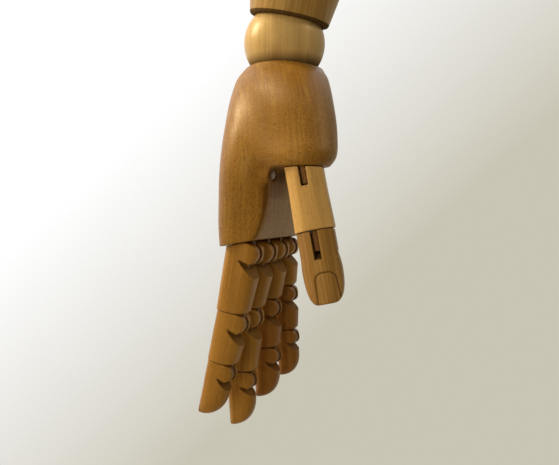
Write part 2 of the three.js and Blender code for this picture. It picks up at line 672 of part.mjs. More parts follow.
// The screw stands in a flat seat on the edge of the palm's face, turned a little to the thumb's side
const seatRadius = SCREW_HEAD_RADIUS + SCREW_SEAT_ROOM;
const seatSink = seatRadius * Math.sin(degrees(-SCREW_TURN));
const screw = new THREE.Group();
screw.position.set(PALM_FACE - seatSink, SCREW_PLACE.y, -SCREW_PLACE.drop);
screw.rotation.set(0, Math.PI / 2, degrees(SCREW_TURN), 'ZYX');
palm.add(screw);
screw.updateMatrix();
palmCuts.push(
  bar(SCREW_SHANK_RADIUS + FIT_GAP, -SCREW_SHANK_LENGTH - FIT_GAP, SCREW_HEAD_HEIGHT, PIN_STEPS)
    .applyMatrix4(screw.matrix),
  bar(seatRadius, 0, 2 * SCREW_HEAD_RADIUS, SCREW_STEPS).applyMatrix4(screw.matrix),
);
const screwProfile = [
  [0, -SCREW_SHANK_LENGTH],
  [SCREW_SHANK_RADIUS, -SCREW_SHANK_LENGTH],
  [SCREW_SHANK_RADIUS, FIT_GAP],
  [SCREW_HEAD_RADIUS, FIT_GAP],
  [SCREW_HEAD_RADIUS, SCREW_HEAD_HEIGHT / 2],
  [SCREW_CROWN_SHARE * SCREW_HEAD_RADIUS, SCREW_HEAD_HEIGHT],
  [0, SCREW_HEAD_HEIGHT],
];
const screwSlot = block(
  [-SCREW_HEAD_RADIUS, -SCREW_SLOT_WIDTH / 2, SCREW_HEAD_HEIGHT - SCREW_SLOT_DEPTH],
  [SCREW_HEAD_RADIUS, SCREW_SLOT_WIDTH / 2, 2 * SCREW_HEAD_HEIGHT],
);
const screwSolid = solidOf(turned(screwProfile, SCREW_STEPS)).subtract(solidOf(screwSlot));
screw.add(meshOf(screwSolid, 'web_screw', steel));

const palmSolid = palmCuts.reduce(
  (left, cut) => left.subtract(solidOf(cut)),
  solidOf(slab).subtract(solidOf(plate(faceCut, 2 * deep))).add(solidOf(thenar)).add(solidOf(fillet)),
);
palm.add(meshOf(palmSolid, 'palm', palmWood));

export default part;
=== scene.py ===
import math

import bmesh
import bpy
import numpy as np
from mathutils import Matrix, Vector


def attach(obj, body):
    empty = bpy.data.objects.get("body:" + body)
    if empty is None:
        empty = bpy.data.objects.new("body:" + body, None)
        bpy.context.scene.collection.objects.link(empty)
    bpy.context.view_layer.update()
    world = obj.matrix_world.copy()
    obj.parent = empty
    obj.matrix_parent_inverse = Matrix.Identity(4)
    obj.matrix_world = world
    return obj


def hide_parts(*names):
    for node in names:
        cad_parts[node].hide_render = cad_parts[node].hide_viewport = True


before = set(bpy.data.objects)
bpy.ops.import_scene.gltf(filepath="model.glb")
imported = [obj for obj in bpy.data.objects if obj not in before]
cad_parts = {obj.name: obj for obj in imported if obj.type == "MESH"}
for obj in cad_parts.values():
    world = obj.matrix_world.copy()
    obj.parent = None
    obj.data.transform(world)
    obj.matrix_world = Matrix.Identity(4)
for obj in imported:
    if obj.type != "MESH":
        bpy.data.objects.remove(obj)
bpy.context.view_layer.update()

# Camera
# The photograph looks level at the thumb side from about half a metre. The wrist is bent, so the
# upright of the picture is the axis of the hand, and the forearm leans in it.
MM = 0.001
BALL_HEIGHT = -72
WRIST_BEND = math.radians(12)
hand_place = Matrix.Translation((0, 0, BALL_HEIGHT)) @ Matrix.Rotation(-WRIST_BEND, 4, "Y")

PICTURE_WIDTH = 559
PICTURE_HEIGHT = 465
FOCAL_PIXELS = 888
SENSOR_WIDTH = 36
VIEW_DISTANCE = 475
VIEW_TURN = math.radians(22)
BALL_PIXEL_X = 284.5
BALL_PIXEL_Y = 44
NEAREST_SEEN = 10


def in_metres(matrix):
    """The same placement with its shift in metres."""
    placed = matrix.copy()
    placed.translation = matrix.translation * MM
    return placed


view_right = Vector((math.cos(VIEW_TURN), math.sin(VIEW_TURN), 0))
view_into = Vector((-math.sin(VIEW_TURN), math.cos(VIEW_TURN), 0))
view_up = Vector((0, 0, 1))
pixel = VIEW_DISTANCE / FOCAL_PIXELS
camera_point = -VIEW_DISTANCE * view_into
camera_point -= (BALL_PIXEL_X - PICTURE_WIDTH / 2) * pixel * view_right
camera_point -= (PICTURE_HEIGHT / 2 - BALL_PIXEL_Y) * pixel * view_up
view_axes = Matrix((view_right, view_up, -view_into)).transposed().to_4x4()
view_place = Matrix.Translation(camera_point) @ view_axes

camera = bpy.data.objects.new("camera", bpy.data.cameras.new("camera"))
camera.data.sensor_width = SENSOR_WIDTH
camera.data.lens = FOCAL_PIXELS / PICTURE_WIDTH * SENSOR_WIDTH
camera.data.clip_start = NEAREST_SEEN * MM
camera.matrix_world = in_metres(hand_place @ view_place)
bpy.context.scene.collection.objects.link(camera)
bpy.context.scene.camera = camera
bpy.context.scene.view_settings.view_transform = "Standard"

# Forearm end
# A cone turned on the lathe from pale close-grained hardwood, hollowed below for the wrist ball and
# bored up the middle for the wrist bolt. Its lip is bevelled, and its sawn top is the mount.
BALL_RADIUS = 21.6
SOCKET_ROOM = 0.4
SOCKET_RADIUS = BALL_RADIUS + SOCKET_ROOM
FOREARM_TOP_RADIUS = 30
FOREARM_SWELL = 1.5
RIM_HEIGHT = 12
LIP_WIDTH = 3
LIP_BEVEL = 1.3
BOLT_BORE = 3.3
INSERT_BORE = 5.3
INSERT_TOP = 36.3
BOLT_BORE_TOP = 40
TURNED_STEPS = 160
SOCKET_STEPS = 30
SIDE_STEPS = 24
LIP_TURN_IN = 0.4
LIP_TURN_UP = 0.5
TOP_BEVEL = 1.2
EDGE_EASE = 0.7
LONGEST_EASE = 0.45
# Painted shade on the downward bevel of the lip
LIP_SHADE = 0.8
LIP_SHADE_IN = 1.5
LIP_SHADE_UP = 0.4


def made_of(name, points, faces):
    """A mesh object from points in millimetres, with its faces turned outwards."""
    mesh = bpy.data.meshes.new(name)
    mesh.from_pydata([Vector(p) * MM for p in points], [], faces)
    work = bmesh.new()
    work.from_mesh(mesh)
    bmesh.ops.recalc_face_normals(work, faces=work.faces)
    work.to_mesh(mesh)
    work.free()
    piece = bpy.data.objects.new(name, mesh)
    bpy.context.scene.collection.objects.link(piece)
    return piece


def rounded(corners, radius, steps=4):
    """An outline whose inner corners are eased over the radius, or over less on a short side."""
    eased = [corners[0]]
    for before, corner, after in zip(corners, corners[1:], corners[2:]):
        here = Vector(corner)
        back = Vector(before) - here
        ahead = Vector(after) - here
        start = here + back * min(radius / back.length, LONGEST_EASE)
        end = here + ahead * min(radius / ahead.length, LONGEST_EASE)
        for i in range(steps + 1):
            share = i / steps
            point = start * (1 - share) ** 2 + here * 2 * share * (1 - share) + end * share ** 2
            eased.append(tuple(point))
    eased.append(corners[-1])
    return eased


def turned(name, outline, steps):
    """A turned solid about Z from radius and height pairs that begin and end on the axis."""
    points = [(0, 0, outline[0][1]), (0, 0, outline[-1][1])]
    faces = []
    wall = outline[1:-1]
    for radius, height in wall:
        for i in range(steps):
            turn = 2 * math.pi * i / steps
            points.append((radius * math.cos(turn), radius * math.sin(turn), height))
    for i in range(steps):
        k = (i + 1) % steps
        last = 2 + (len(wall) - 1) * steps
        faces.append((0, 2 + i, 2 + k))
        faces.append((1, last + k, last + i))
        for r in range(len(wall) - 1):
            low = 2 + r * steps
            faces.append((low + i, low + k, low + steps + k, low + steps + i))
    return made_of(name, points, faces)


def linear(hex_colour):
    """A linear colour from an sRGB hex value."""
    shades = [int(hex_colour[i:i + 2], 16) / 255 for i in (1, 3, 5)]
    return [s / 12.92 if s <= 0.04045 else ((s + 0.055) / 1.055) ** 2.4 for s in shades] + [1]


def add_node(tree, kind, inputs=None, **settings):
    """Adds a node with its settings, and sets or links its inputs."""
    made = tree.nodes.new(kind)
    for name, value in settings.items():
        setattr(made, name, value)
    for socket, value in (inputs or {}).items():
        if isinstance(value, bpy.types.NodeSocket):
            tree.links.new(value, made.inputs[socket])
        else:
            made.inputs[socket].default_value = value
    return made


# Real pores are about 0.1 mm wide. They are drawn several times coarser, so that they show.
FIGURE_DETAIL = 3
FIGURE_ROUGHNESS = 0.55
FIGURE_DISTORTION = 0.25
GROUND_HEIGHT = 0.5
PORE_HEIGHT = -0.3
PORE_DEPTH = 0.12
PORE_RELIEF = 0.22
PORE_ROUGHNESS = 0.12
# Painted highlight: convex edges are painted paler, as where they catch the light.
HIGHLIGHT_FROM = 0.52
HIGHLIGHT_TO = 0.62
HIGHLIGHT_SHARE = 0.45
# Painted shade: where a piece is marked for it, the wood is painted dark and made matt.
SHADE_COLOUR = "#1f0e04"
SHADE_MATT = 0.7
MATT_ROUGHNESS = 0.95
LACQUER_LEVEL = 0.34
LACQUER_TINT = "#ffd790"


def lacquered_wood(name, ground, ring_turn, figures, roughness, highlight):
    """Close-grained hardwood, sanded and sprayed with thin satin lacquer. The eye gets growth bands and
    streaks along the grain, fine pore dashes and a golden satin gloss. Convex edges are painted paler as
    a painted highlight, and marked parts of a piece are painted dark and matt as painted shade. The
    bands follow growth rings turned by so many degrees about the grain. Each figure is its width, depth
    and length in mm, the part of the noise it shows in, colour and strength."""
    material = bpy.data.materials.new(name)
    material.use_nodes = True
    tree = material.node_tree
    tree.nodes.clear()
    place = add_node(tree, "ShaderNodeTexCoord").outputs["Object"]
    board = add_node(tree, "ShaderNodeAttribute", attribute_name="board").outputs["Vector"]
    grain = add_node(tree, "ShaderNodeVectorMath", {0: place, 1: board}, operation="ADD").outputs[0]
    colour = linear(ground)
    height = GROUND_HEIGHT
    for width, depth, length, low, high, figure_colour, strength in figures:
        spot = add_node(tree, "ShaderNodeMapping", {
            "Vector": grain, "Rotation": (0, 0, math.radians(ring_turn)),
            "Scale": (width * MM, depth * MM, length * MM)}, vector_type="TEXTURE").outputs[0]
        noise = add_node(tree, "ShaderNodeTexNoise", {
            "Vector": spot, "Scale": 1, "Detail": FIGURE_DETAIL, "Roughness": FIGURE_ROUGHNESS,
            "Distortion": FIGURE_DISTORTION})
        shown = add_node(tree, "ShaderNodeMapRange", {
            0: noise.outputs[0], 1: low, 2: high, 3: 0, 4: strength}).outputs[0]
        mixed = add_node(tree, "ShaderNodeMix", {
            0: shown, 6: colour, 7: linear(figure_colour)}, data_type="RGBA")
        colour = mixed.outputs[2]
        height = add_node(tree, "ShaderNodeMath", {0: height, 1: shown}, operation="SUBTRACT").outputs[0]
    # Painted highlight on convex edges
    edges = add_node(tree, "ShaderNodeNewGeometry").outputs["Pointiness"]
    edge_highlight = add_node(tree, "ShaderNodeMapRange", {
        0: edges, 1: HIGHLIGHT_FROM, 2: HIGHLIGHT_TO, 3: 0, 4: HIGHLIGHT_SHARE}).outputs[0]
    colour = add_node(tree, "ShaderNodeMix", {
        0: edge_highlight, 6: colour, 7: linear(highlight)}, data_type="RGBA").outputs[2]
    # Painted shade from each piece's mark, dark and matt
    painted_shade = add_node(tree, "ShaderNodeAttribute", attribute_name="painted_shade").outputs["Fac"]
    colour = add_node(tree, "ShaderNodeMix", {
        0: painted_shade, 6: colour, 7: linear(SHADE_COLOUR)}, data_type="RGBA").outputs[2]
    sheen = add_node(tree, "ShaderNodeMapRange", {
        0: height, 1: PORE_HEIGHT, 2: GROUND_HEIGHT,
        3: roughness + PORE_ROUGHNESS, 4: roughness}).outputs[0]
    relief = add_node(tree, "ShaderNodeBump", {
        "Height": height, "Strength": PORE_RELIEF, "Distance": PORE_DEPTH * MM}).outputs[0]
    matt = add_node(tree, "ShaderNodeMapRange", {
        0: painted_shade, 1: 0, 2: SHADE_MATT, 3: sheen, 4: MATT_ROUGHNESS}).outputs[0]
    shader = add_node(tree, "ShaderNodeBsdfPrincipled", {
        "Base Color": colour, "Roughness": matt, "Normal": relief,
        "Specular IOR Level": LACQUER_LEVEL, "Specular Tint": linear(LACQUER_TINT)})
    add_node(tree, "ShaderNodeOutputMaterial", {"Surface": shader.outputs[0]})
    return material


# Tan beech, turned and lacquered: soft brown bands, paler streaks and short pores
pale_figures = [
    (8, 40, 200, 0.36, 0.64, "#a1773a", 0.45),
    (1.8, 18, 90, 0.45, 0.7, "#dfb971", 0.45),
    (0.7, 8, 40, 0.52, 0.72, "#8a622c", 0.3),
    (0.45, 0.6, 3, 0.6, 0.7, "#70491d", 0.35),
]
forearm_wood = lacquered_wood("lacquered_tan_beech", "#a87f3f", 22, pale_figures, 0.3, "#cfa660")

BOARD_STEP = Vector((131, 217, 389)) * MM
boards_used = 0


def stand_for(piece, place, body, nodes, material):
    """Puts a finished wooden piece in its place, on its body and in its own part of the board."""
    global boards_used
    boards_used += 1
    mesh = piece.data
    mesh.shade_smooth()
    mesh.materials.clear()
    mesh.materials.append(material)
    offset = BOARD_STEP * boards_used
    board = mesh.attributes.new("board", "FLOAT_VECTOR", "POINT")
    board.data.foreach_set("vector", list(offset) * len(mesh.vertices))
    # Pieces without painted shade get an empty painted-shade mark
    if "painted_shade" not in mesh.attributes:
        mesh.attributes.new("painted_shade", "FLOAT", "POINT")
    piece.matrix_world = in_metres(place)
    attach(piece, body)
    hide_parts(*nodes)


rim_inner = math.sqrt(SOCKET_RADIUS ** 2 - RIM_HEIGHT ** 2)
rim_outer = rim_inner + LIP_WIDTH
top_height = -BALL_HEIGHT
side_low = RIM_HEIGHT + LIP_BEVEL
socket_top = math.sqrt(SOCKET_RADIUS ** 2 - INSERT_BORE ** 2)


def ball_arc(radius, from_height, to_height, steps):
    """Radius and height pairs along a ball's outline about height 0."""
    turns = np.linspace(math.asin(from_height / radius), math.asin(to_height / radius), steps + 1)
    return [(radius * math.cos(t), radius * math.sin(t)) for t in turns]


side = []
for i in range(1, SIDE_STEPS):
    share = i / SIDE_STEPS
    bulge = FOREARM_SWELL * 2 * share * (1 - share)
    side.append((rim_outer + (FOREARM_TOP_RADIUS - rim_outer) * share + bulge,
                 side_low + (top_height - side_low) * share))
forearm_outline = [(0, BOLT_BORE_TOP), (BOLT_BORE, BOLT_BORE_TOP), (BOLT_BORE, INSERT_TOP),
                   (INSERT_BORE, INSERT_TOP)]
hollow = ball_arc(SOCKET_RADIUS, socket_top, RIM_HEIGHT, SOCKET_STEPS)[:-1]
forearm_outline += hollow
forearm_outline += rounded([
    hollow[-1], (rim_inner, RIM_HEIGHT), (rim_outer - LIP_TURN_IN, RIM_HEIGHT + LIP_TURN_UP),
    (rim_outer, side_low), side[0]], EDGE_EASE)[1:]
forearm_outline += side[1:]
forearm_outline += rounded([
    side[-1], (FOREARM_TOP_RADIUS, top_height - TOP_BEVEL),
    (FOREARM_TOP_RADIUS - TOP_BEVEL, top_height), (0, top_height)], EDGE_EASE)[1:]
forearm = turned("turned_forearm_end", forearm_outline, TURNED_STEPS)

# The bevel of the lip faces down and is painted dark brown: painted shade.
lip_shade = forearm.data.attributes.new("painted_shade", "FLOAT", "POINT")
for vertex, mark in zip(forearm.data.vertices, lip_shade.data):
    height = vertex.co.z / MM
    reach = math.hypot(vertex.co.x, vertex.co.y) / MM
    if reach > rim_inner - LIP_SHADE_IN and height < side_low + LIP_SHADE_UP:
        mark.value = LIP_SHADE
forearm_place = Matrix.Translation((0, 0, BALL_HEIGHT))
stand_for(forearm, forearm_place, "forearm", ["forearm"], forearm_wood)

# Wrist bolt, pins, stud and inserts
# Drawn steel bar and turned brass, bought in and hidden in the wood. Their CAD solids stay and get
# the fine lines that drawing and turning leave on metal, drawn coarser than they are so that they show.
LINE_WIDTH = 0.25
LINE_LENGTH = 6
LINE_DETAIL = 2
LINE_FROM = 0.3
LINE_TO = 0.7
LINE_ROUGHNESS = 0.1
LINE_RELIEF = 0.1
LINE_DEPTH = 0.05


def worked_metal(name, colour, dark, roughness):
    """Drawn or turned metal: fine lines along or round the bar and a dull shine between them."""
    material = bpy.data.materials.new(name)
    material.use_nodes = True
    tree = material.node_tree
    tree.nodes.clear()
    place = add_node(tree, "ShaderNodeTexCoord").outputs["Object"]
    across = 1 / (LINE_WIDTH * MM)
    spot = add_node(tree, "ShaderNodeMapping", {
        "Vector": place, "Scale": (across, across, 1 / (LINE_LENGTH * MM))}).outputs[0]
    lines = add_node(tree, "ShaderNodeTexNoise", {
        "Vector": spot, "Scale": 1, "Detail": LINE_DETAIL}).outputs[0]
    tint = add_node(tree, "ShaderNodeMix", {
        0: lines, 6: linear(dark), 7: linear(colour)}, data_type="RGBA").outputs[2]
    gloss = add_node(tree, "ShaderNodeMapRange", {
        0: lines, 1: LINE_FROM, 2: LINE_TO, 3: roughness + LINE_ROUGHNESS, 4: roughness}).outputs[0]
    relief = add_node(tree, "ShaderNodeBump", {
        "Height": lines, "Strength": LINE_RELIEF, "Distance": LINE_DEPTH * MM}).outputs[0]
    shader = add_node(tree, "ShaderNodeBsdfPrincipled", {
        "Base Color": tint, "Roughness": gloss, "Normal": relief, "Metallic": 1})
    add_node(tree, "ShaderNodeOutputMaterial", {"Surface": shader.outputs[0]})
    return material


steel = worked_metal("drawn_steel", "#8d8a84", "#5c5954", 0.3)
brass = worked_metal("turned_brass", "#c09a52", "#8a6a30", 0.3)
for node_name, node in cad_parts.items():
    if node_name.endswith("_insert"):
        metal = brass
    elif node_name.endswith("_pin") or node_name in ("wrist_eye_bolt", "palm_stud"):
        metal = steel
    else:
        continue
    node.data.materials.clear()
    node.data.materials.append(metal)

# Wrist ball
# Turned from the same pale wood as the forearm, with its grain upright. A fan-shaped slot in its top
# lets it tilt on the cross pin, and a bore below takes the stud of the palm.
BALL_SLOT_WIDTH = 6.6
BALL_TILT_LIMIT = math.radians(36)
EYE_BORE = 5.7
CROSS_BORE = 2.3
CROSS_BORE_LENGTH = 24.6
STUD_BORE_TOP = -12.3
BALL_STEPS = 90
BORE_STEPS = 48
BALL_SANDING = (0.5, 4)
SANDING_STRENGTH = 0.5
# Painted shadow on the lower part of the ball, darker downwards
BALL_SHADE_TOP = -7
BALL_SHADE_FADE = 5
BALL_SHADE = 0.75
FAR = 60


def skin(name, rings):
    """A closed skin over rings of equal count, with flat ends."""
    count = len(rings[0])
    points = [p for ring in rings for p in ring]
    faces = [tuple(range(count)), tuple(len(points) - 1 - i for i in range(count))]
    for r in range(len(rings) - 1):
        for i in range(count):
            k = (i + 1) % count
            faces.append((r * count + i, r * count + k, (r + 1) * count + k, (r + 1) * count + i))
    return made_of(name, points, faces)


def plate(name, outline, width):
    """A flat solid from an outline in X and Z, as wide as asked along Y."""
    return skin(name, [[(x, side * width / 2, z) for x, z in outline] for side in (-1, 1)])


def cross_bar(name, radius, length, steps=32):
    """A round bar along Y, to cut a bore with."""
    turns = [2 * math.pi * i / steps for i in range(steps)]
    return plate(name, [(radius * math.cos(t), radius * math.sin(t)) for t in turns], length)


def applied(piece):
    """Makes the modifiers of a piece final."""
    graph = bpy.context.evaluated_depsgraph_get()
    mesh = bpy.data.meshes.new_from_object(piece.evaluated_get(graph))
    piece.modifiers.clear()
    piece.data = mesh


def carve(piece, tool, operation="DIFFERENCE"):
    """Cuts a tool out of a piece, or joins it on, and puts the tool away."""
    change = piece.modifiers.new("carve", "BOOLEAN")
    change.operation = operation
    change.solver = "MANIFOLD"
    change.object = tool
    applied(piece)
    bpy.data.objects.remove(tool)


def soften(piece, voxel, rounds):
    """Evens out the faces of a piece to a voxel size in mm, and eases its edges as sanding does."""
    even = piece.modifiers.new("even", "REMESH")
    even.mode = "VOXEL"
    even.voxel_size = voxel * MM
    ease = piece.modifiers.new("ease", "SMOOTH")
    ease.factor = SANDING_STRENGTH
    ease.iterations = rounds
    applied(piece)


ball_outline = ball_arc(BALL_RADIUS, -BALL_RADIUS, BALL_RADIUS, BALL_STEPS)
ball = turned("turned_wrist_ball", ball_outline, TURNED_STEPS)
fan = []
for way, height in ((-1, 0), (1, 0), (1, 2 * BALL_RADIUS), (-1, 2 * BALL_RADIUS)):
    lean = -way * BALL_TILT_LIMIT
    x = way * BALL_SLOT_WIDTH / 2
    fan.append((x * math.cos(lean) - height * math.sin(lean),
                x * math.sin(lean) + height * math.cos(lean)))
carve(ball, plate("fan_slot", fan, BALL_SLOT_WIDTH))
carve(ball, cross_bar("eye_room", EYE_BORE, BALL_SLOT_WIDTH))
carve(ball, cross_bar("cross_bore", CROSS_BORE, CROSS_BORE_LENGTH))
stud_bore = [(0, -FAR), (BOLT_BORE, -FAR), (BOLT_BORE, STUD_BORE_TOP), (0, STUD_BORE_TOP)]
carve(ball, turned("stud_bore", stud_bore, BORE_STEPS))
soften(ball, *BALL_SANDING)

# Pale beech, turned and polished: the figure of the forearm, lighter and glossier
ball_wood = lacquered_wood("lacquered_pale_beech", "#dcb671", 22, pale_figures, 0.25, "#e3c080")

# Below, where it sits in the hollow of the palm, the ball is painted darker: a painted shadow.
ball_shade = ball.data.attributes.new("painted_shade", "FLOAT", "POINT")
for vertex, mark in zip(ball.data.vertices, ball_shade.data):
    depth = (BALL_SHADE_TOP - vertex.co.z / MM) / BALL_SHADE_FADE
    mark.value = BALL_SHADE * min(max(depth, 0), 1)
stand_for(ball, hand_place, "ball", ["wrist_ball"], ball_wood)

# Palm block
# One block of honey-brown hardwood, shaped by spindle and sanded round: a slab for the hand with the
# swelling at the root of the thumb, a hollow for the ball, and sawn mortises for the hinge tongues.
PALM_RIM_DROP = 12.3
PALM_RIM_WALL = 1.2
SHOULDER_DROP = 69.6
PALM_FACE = 9.6
PALM_FACE_TOP = 24.2
PALM_FACE_FLAT_DROP = 74
PALM_FACE_CURVE_DROP = 92
PALM_FACE_END = (-2, -107.5)
WEB_FILLET = 5.5
WEB_END = -4
EDGE_ROOM = 0.8
PALM_STEPS = 96
PALM_LEVELS = 40
SKIN_TIGHTNESS = 14
FACE_STEPS = 14
WEB_STEPS = 8
SKIN_TOP = -6
SKIN_DRAWN_IN = 3
THENAR_BELOW = 6
ROUND_SANDING = (0.9, 48)
WEB_SANDING = (0.7, 7)
ELLIPSE = 2
NO_FLAT = 10

# Honey-brown hardwood, sanded and lacquered: broad dark bands, many short pores and a pale ripple
# across the grain, which is drawn coarser than it is so that it shows
palm_wood = lacquered_wood("lacquered_honey_hardwood", "#9c6d26", 29, [
    (9, 60, 240, 0.36, 0.64, "#7f5418", 0.5),
    (2.2, 26, 130, 0.46, 0.7, "#bb8c3a", 0.4),
    (0.8, 12, 60, 0.53, 0.7, "#694110", 0.5),
    (0.7, 0.8, 1.7, 0.51, 0.63, "#5f390d", 0.5),
    (5, 8, 0.9, 0.58, 0.7, "#b88f4c", 0.3),
], 0.32, "#bf934f")


def level_rows(rows, count):
    """Rows of sizes at even heights, on a smooth curve through the given rows. Height comes first."""
    given = np.array(rows, float)
    heights = given[:, 0]
    slopes = np.gradient(given, heights, axis=0)
    levels = []
    for height in np.linspace(heights[0], heights[-1], count):
        k = min(np.searchsorted(-heights, -height, side="right") - 1, len(heights) - 2)
        step = heights[k + 1] - heights[k]
        t = (height - heights[k]) / step
        row = (given[k] * (1 + 2 * t) * (1 - t) ** 2 + slopes[k] * step * t * (1 - t) ** 2
               + given[k + 1] * t * t * (3 - 2 * t) + slopes[k + 1] * step * t * t * (t - 1))
        levels.append(row)
    return levels


def oval(height, back, front, near, far, squareness, steps, flat=NO_FLAT):
    """A rounded outline between back and front in X and two sides in Y. Its corners can be planed
    flat at a share of the half size."""
    points = []
    for i in range(steps):
        turn = 2 * math.pi * i / steps
        x = math.copysign(abs(math.cos(turn)) ** (2 / squareness), math.cos(turn))
        y = math.copysign(abs(math.sin(turn)) ** (2 / squareness), math.sin(turn))
        over = (abs(x) + abs(y)) / math.sqrt(2) - flat
        if over > 0:
            x -= math.copysign(over / math.sqrt(2), x)
            y -= math.copysign(over / math.sqrt(2), y)
        points.append(((back + front) / 2 + x * (front - back) / 2,
                       (near + far) / 2 + y * (far - near) / 2, height))
    return points


def stretched(height, circles, steps):
    """The outline of a skin stretched over circles, each given by X, Y and radius."""
    middle = np.mean([c[:2] for c in circles], axis=0)
    points = []
    for i in range(steps):
        turn = 2 * math.pi * i / steps
        out = np.array((math.cos(turn), math.sin(turn)))
        along = np.array((-out[1], out[0]))
        total = 0
        slope = 0
        for x, y, radius in circles:
            offset = np.array((x, y)) - middle
            reach = max(0, offset @ out + radius)
            total += reach ** SKIN_TIGHTNESS
            slope += reach ** (SKIN_TIGHTNESS - 1) * (offset @ along)
        reach = total ** (1 / SKIN_TIGHTNESS)
        point = middle + out * reach + along * slope * reach / total
        points.append((point[0], point[1], height))
    return points


# Height, back, front, near side, far side and squareness of the slab, from above the rim down
rim_radius = math.sqrt(SOCKET_RADIUS ** 2 - PALM_RIM_DROP ** 2) + PALM_RIM_WALL
skin_radius = rim_radius - SKIN_DRAWN_IN
slab_rows = [
    (SKIN_TOP, -skin_radius, skin_radius, -skin_radius, skin_radius, ELLIPSE),
    (-PALM_RIM_DROP, -rim_radius, rim_radius, -rim_radius, rim_radius, ELLIPSE),
    (-18, -23.2, 23, -26.4, 23.5, 2.04),
    (-29, -24.2, 24, -38.8, 29.5, 1.98),
    (-46, -24.9, 22, -47.2, 34.5, 2.03),
    (-60, -25.6, 20, -50.4, 36.5, 2.1),
    (-72, -25.7, 19, -51, 37, 2.25),
    (-86, -26, 18, -47, 37.2, 2.7),
    (-98, -26.4, 16, -42.4, 36.8, 3.3),
    (-114, -25.4, 12, -39.4, 35.8, 3.6),
]
palm = skin("shaped_palm", [oval(*row, PALM_STEPS) for row in level_rows(slab_rows, PALM_LEVELS)])


def curve(start, control, end, steps):
    """Points in X and Z on a curve that leaves the start towards the control and ends from it."""
    points = []
    for i in range(steps + 1):
        share = i / steps
        points.append(tuple(Vector(start) * (1 - share) ** 2 + Vector(control) * 2 * share * (1 - share)
                            + Vector(end) * share ** 2))
    return points


# The face slopes down from the wrist, is flat below the shoulder and rounds over to the knuckles
face_round = curve((PALM_FACE, -PALM_FACE_FLAT_DROP), (PALM_FACE, -PALM_FACE_CURVE_DROP),
                   PALM_FACE_END, FACE_STEPS)
face_low = PALM_FACE_END[1] - FAR / 2
face_far = [(PALM_FACE_END[0] - FAR / 4, face_low), (FAR, face_low)]
upper_face = [(FAR, -PALM_RIM_DROP), (PALM_FACE_TOP, -PALM_RIM_DROP), (PALM_FACE, -SHOULDER_DROP)]
carve(palm, plate("face_cut", upper_face + face_round + face_far, 3 * FAR))

# Height, then X, Y and radius of three circles: the slab's near edge, over the thumb, mid-palm
thenar_rows = [
    (-13.5, -1, 0, 16.4, 2, -1, 16.6, 1, 2, 16),
    (-18.5, -1, -9.4, 17.2, 6.6, -8, 18.7, 1, 3, 17.4),
    (-25, -1, -18.6, 16.4, 10.7, -15.8, 19.1, 2, 9, 16.6),
    (-38, -1.8, -28.8, 15.2, 17, -26.6, 19, 2, 12, 13),
    (-51, -2.4, -34.7, 13.2, 22.2, -33.5, 17.8, 2, 12, 9.2),
    (-57, -2.4, -36.2, 12, 24.1, -36.6, 17.2, 2, 11, 7.4),
    (-61, -1, -37.4, 10.2, 25.4, -39.1, 16.8, 2, 9, 6.2),
    (-64.6, 1, -38, 8.4, 26, -40.9, 16.3, 2, 6, 5),
    (-67.6, 3.2, -38.8, 6.2, 26.2, -42.4, 15, 2, 2, 4),
    (-SHOULDER_DROP, 5, -39.4, 4.4, 26.2, -43.2, 12.9, 2, -2, 3),
    (-SHOULDER_DROP - THENAR_BELOW, 5, -39.4, 4.4, 26.2, -43.2, 12.9, 2, -2, 3),
]
thenar_rings = []
for row in level_rows(thenar_rows, PALM_LEVELS):
    thenar_rings.append(stretched(row[0], row[1:].reshape(3, 3), PALM_STEPS))
carve(palm, skin("thenar", thenar_rings), "UNION")
soften(palm, *ROUND_SANDING)

# The saw that frees the thumb leaves the shoulder's flat underside and a round in its corner. It keeps
# clear of the sanded edge of the face below.
saw = PALM_FACE + EDGE_ROOM
web = curve((saw, -SHOULDER_DROP - WEB_FILLET), (saw, -SHOULDER_DROP),
            (saw + WEB_FILLET, -SHOULDER_DROP), WEB_STEPS)
web += [(FAR, -SHOULDER_DROP), (FAR, -2 * FAR), (saw, -2 * FAR)]
web_cut = plate("web_cut", web, 2 * FAR)
web_cut.data.transform(in_metres(Matrix.Translation((0, WEB_END - FAR, 0))))
carve(palm, web_cut)
soften(palm, *WEB_SANDING)

# Hinges and digits
# Each hinge is a flat hardwood tongue glued into a mortise of the piece above. A steel pin runs
# through its round eye and two round cheeks of the piece below, which is notched to bend forwards.
FIT_GAP = 0.3
TONGUE_THICKNESS = 2.6
SLOT_HALF = TONGUE_THICKNESS / 2 + FIT_GAP
# Painted shade in the slots and on the upward faces of the notches
SLOT_SHADE = 0.55
SLOT_SHADE_REACH = 0.15
NOTCH_SHADE = 0.4
NOTCH_SHADE_DROP = 2.5
NOTCH_SHADE_TILT = 0.35
TONGUE_SEAT = 8
NECK_SHARE = 0.55
TONGUE_RECESS = 2.4
PIN_BORE = 1.1
PIN_BORE_LENGTH = 10.2
PIN_BORE_STEPS = 20
HINGE_STEPS = 28
SWING_STEPS = 8
CUT_REACH = 3
DORSAL_STEP = 0.5
NOTCH_ANGLE = math.radians(44)
NOTCH_SIDE_TIP = (-0.64, -0.45)
NOTCH_SIDE_ARC_END = math.radians(-50)
NOTCH_INNER_TIP_X = 0.07
SLOT_RIDGE = 0.9
SLOT_DEEP_TO = 1.4
SLOT_RISE_FROM = 0.55
DIGIT_STEPS = 72
HEAD_SQUARENESS = 2.8
TAIL_SQUARENESS = 2.5
TAIL_BEVEL = 1.5
TIP_LENGTH_SHARE = 1.05
TIP_EDGE_SHARE = 0.14
TIP_FRONT_POWER = 2.2
TIP_SIDE_POWER = 2.6
TIP_LEAST_WIDTH = 0.3
TIP_LEVELS = 20
TONGUE_SANDING = (0.25, 2)
DIGIT_SANDING = (0.34, 5)
NAIL_WIDTH = 0.52
NAIL_LENGTH = 0.76
NAIL_CORNER = 0.36
NAIL_TIP_SPREAD = 1.12
NAIL_TAPER = 0.16
NAIL_LINE = 0.3
NAIL_DEPTH = 0.38
NAIL_SHADE = 0.75
NAIL_SIDE_TILT = -0.25

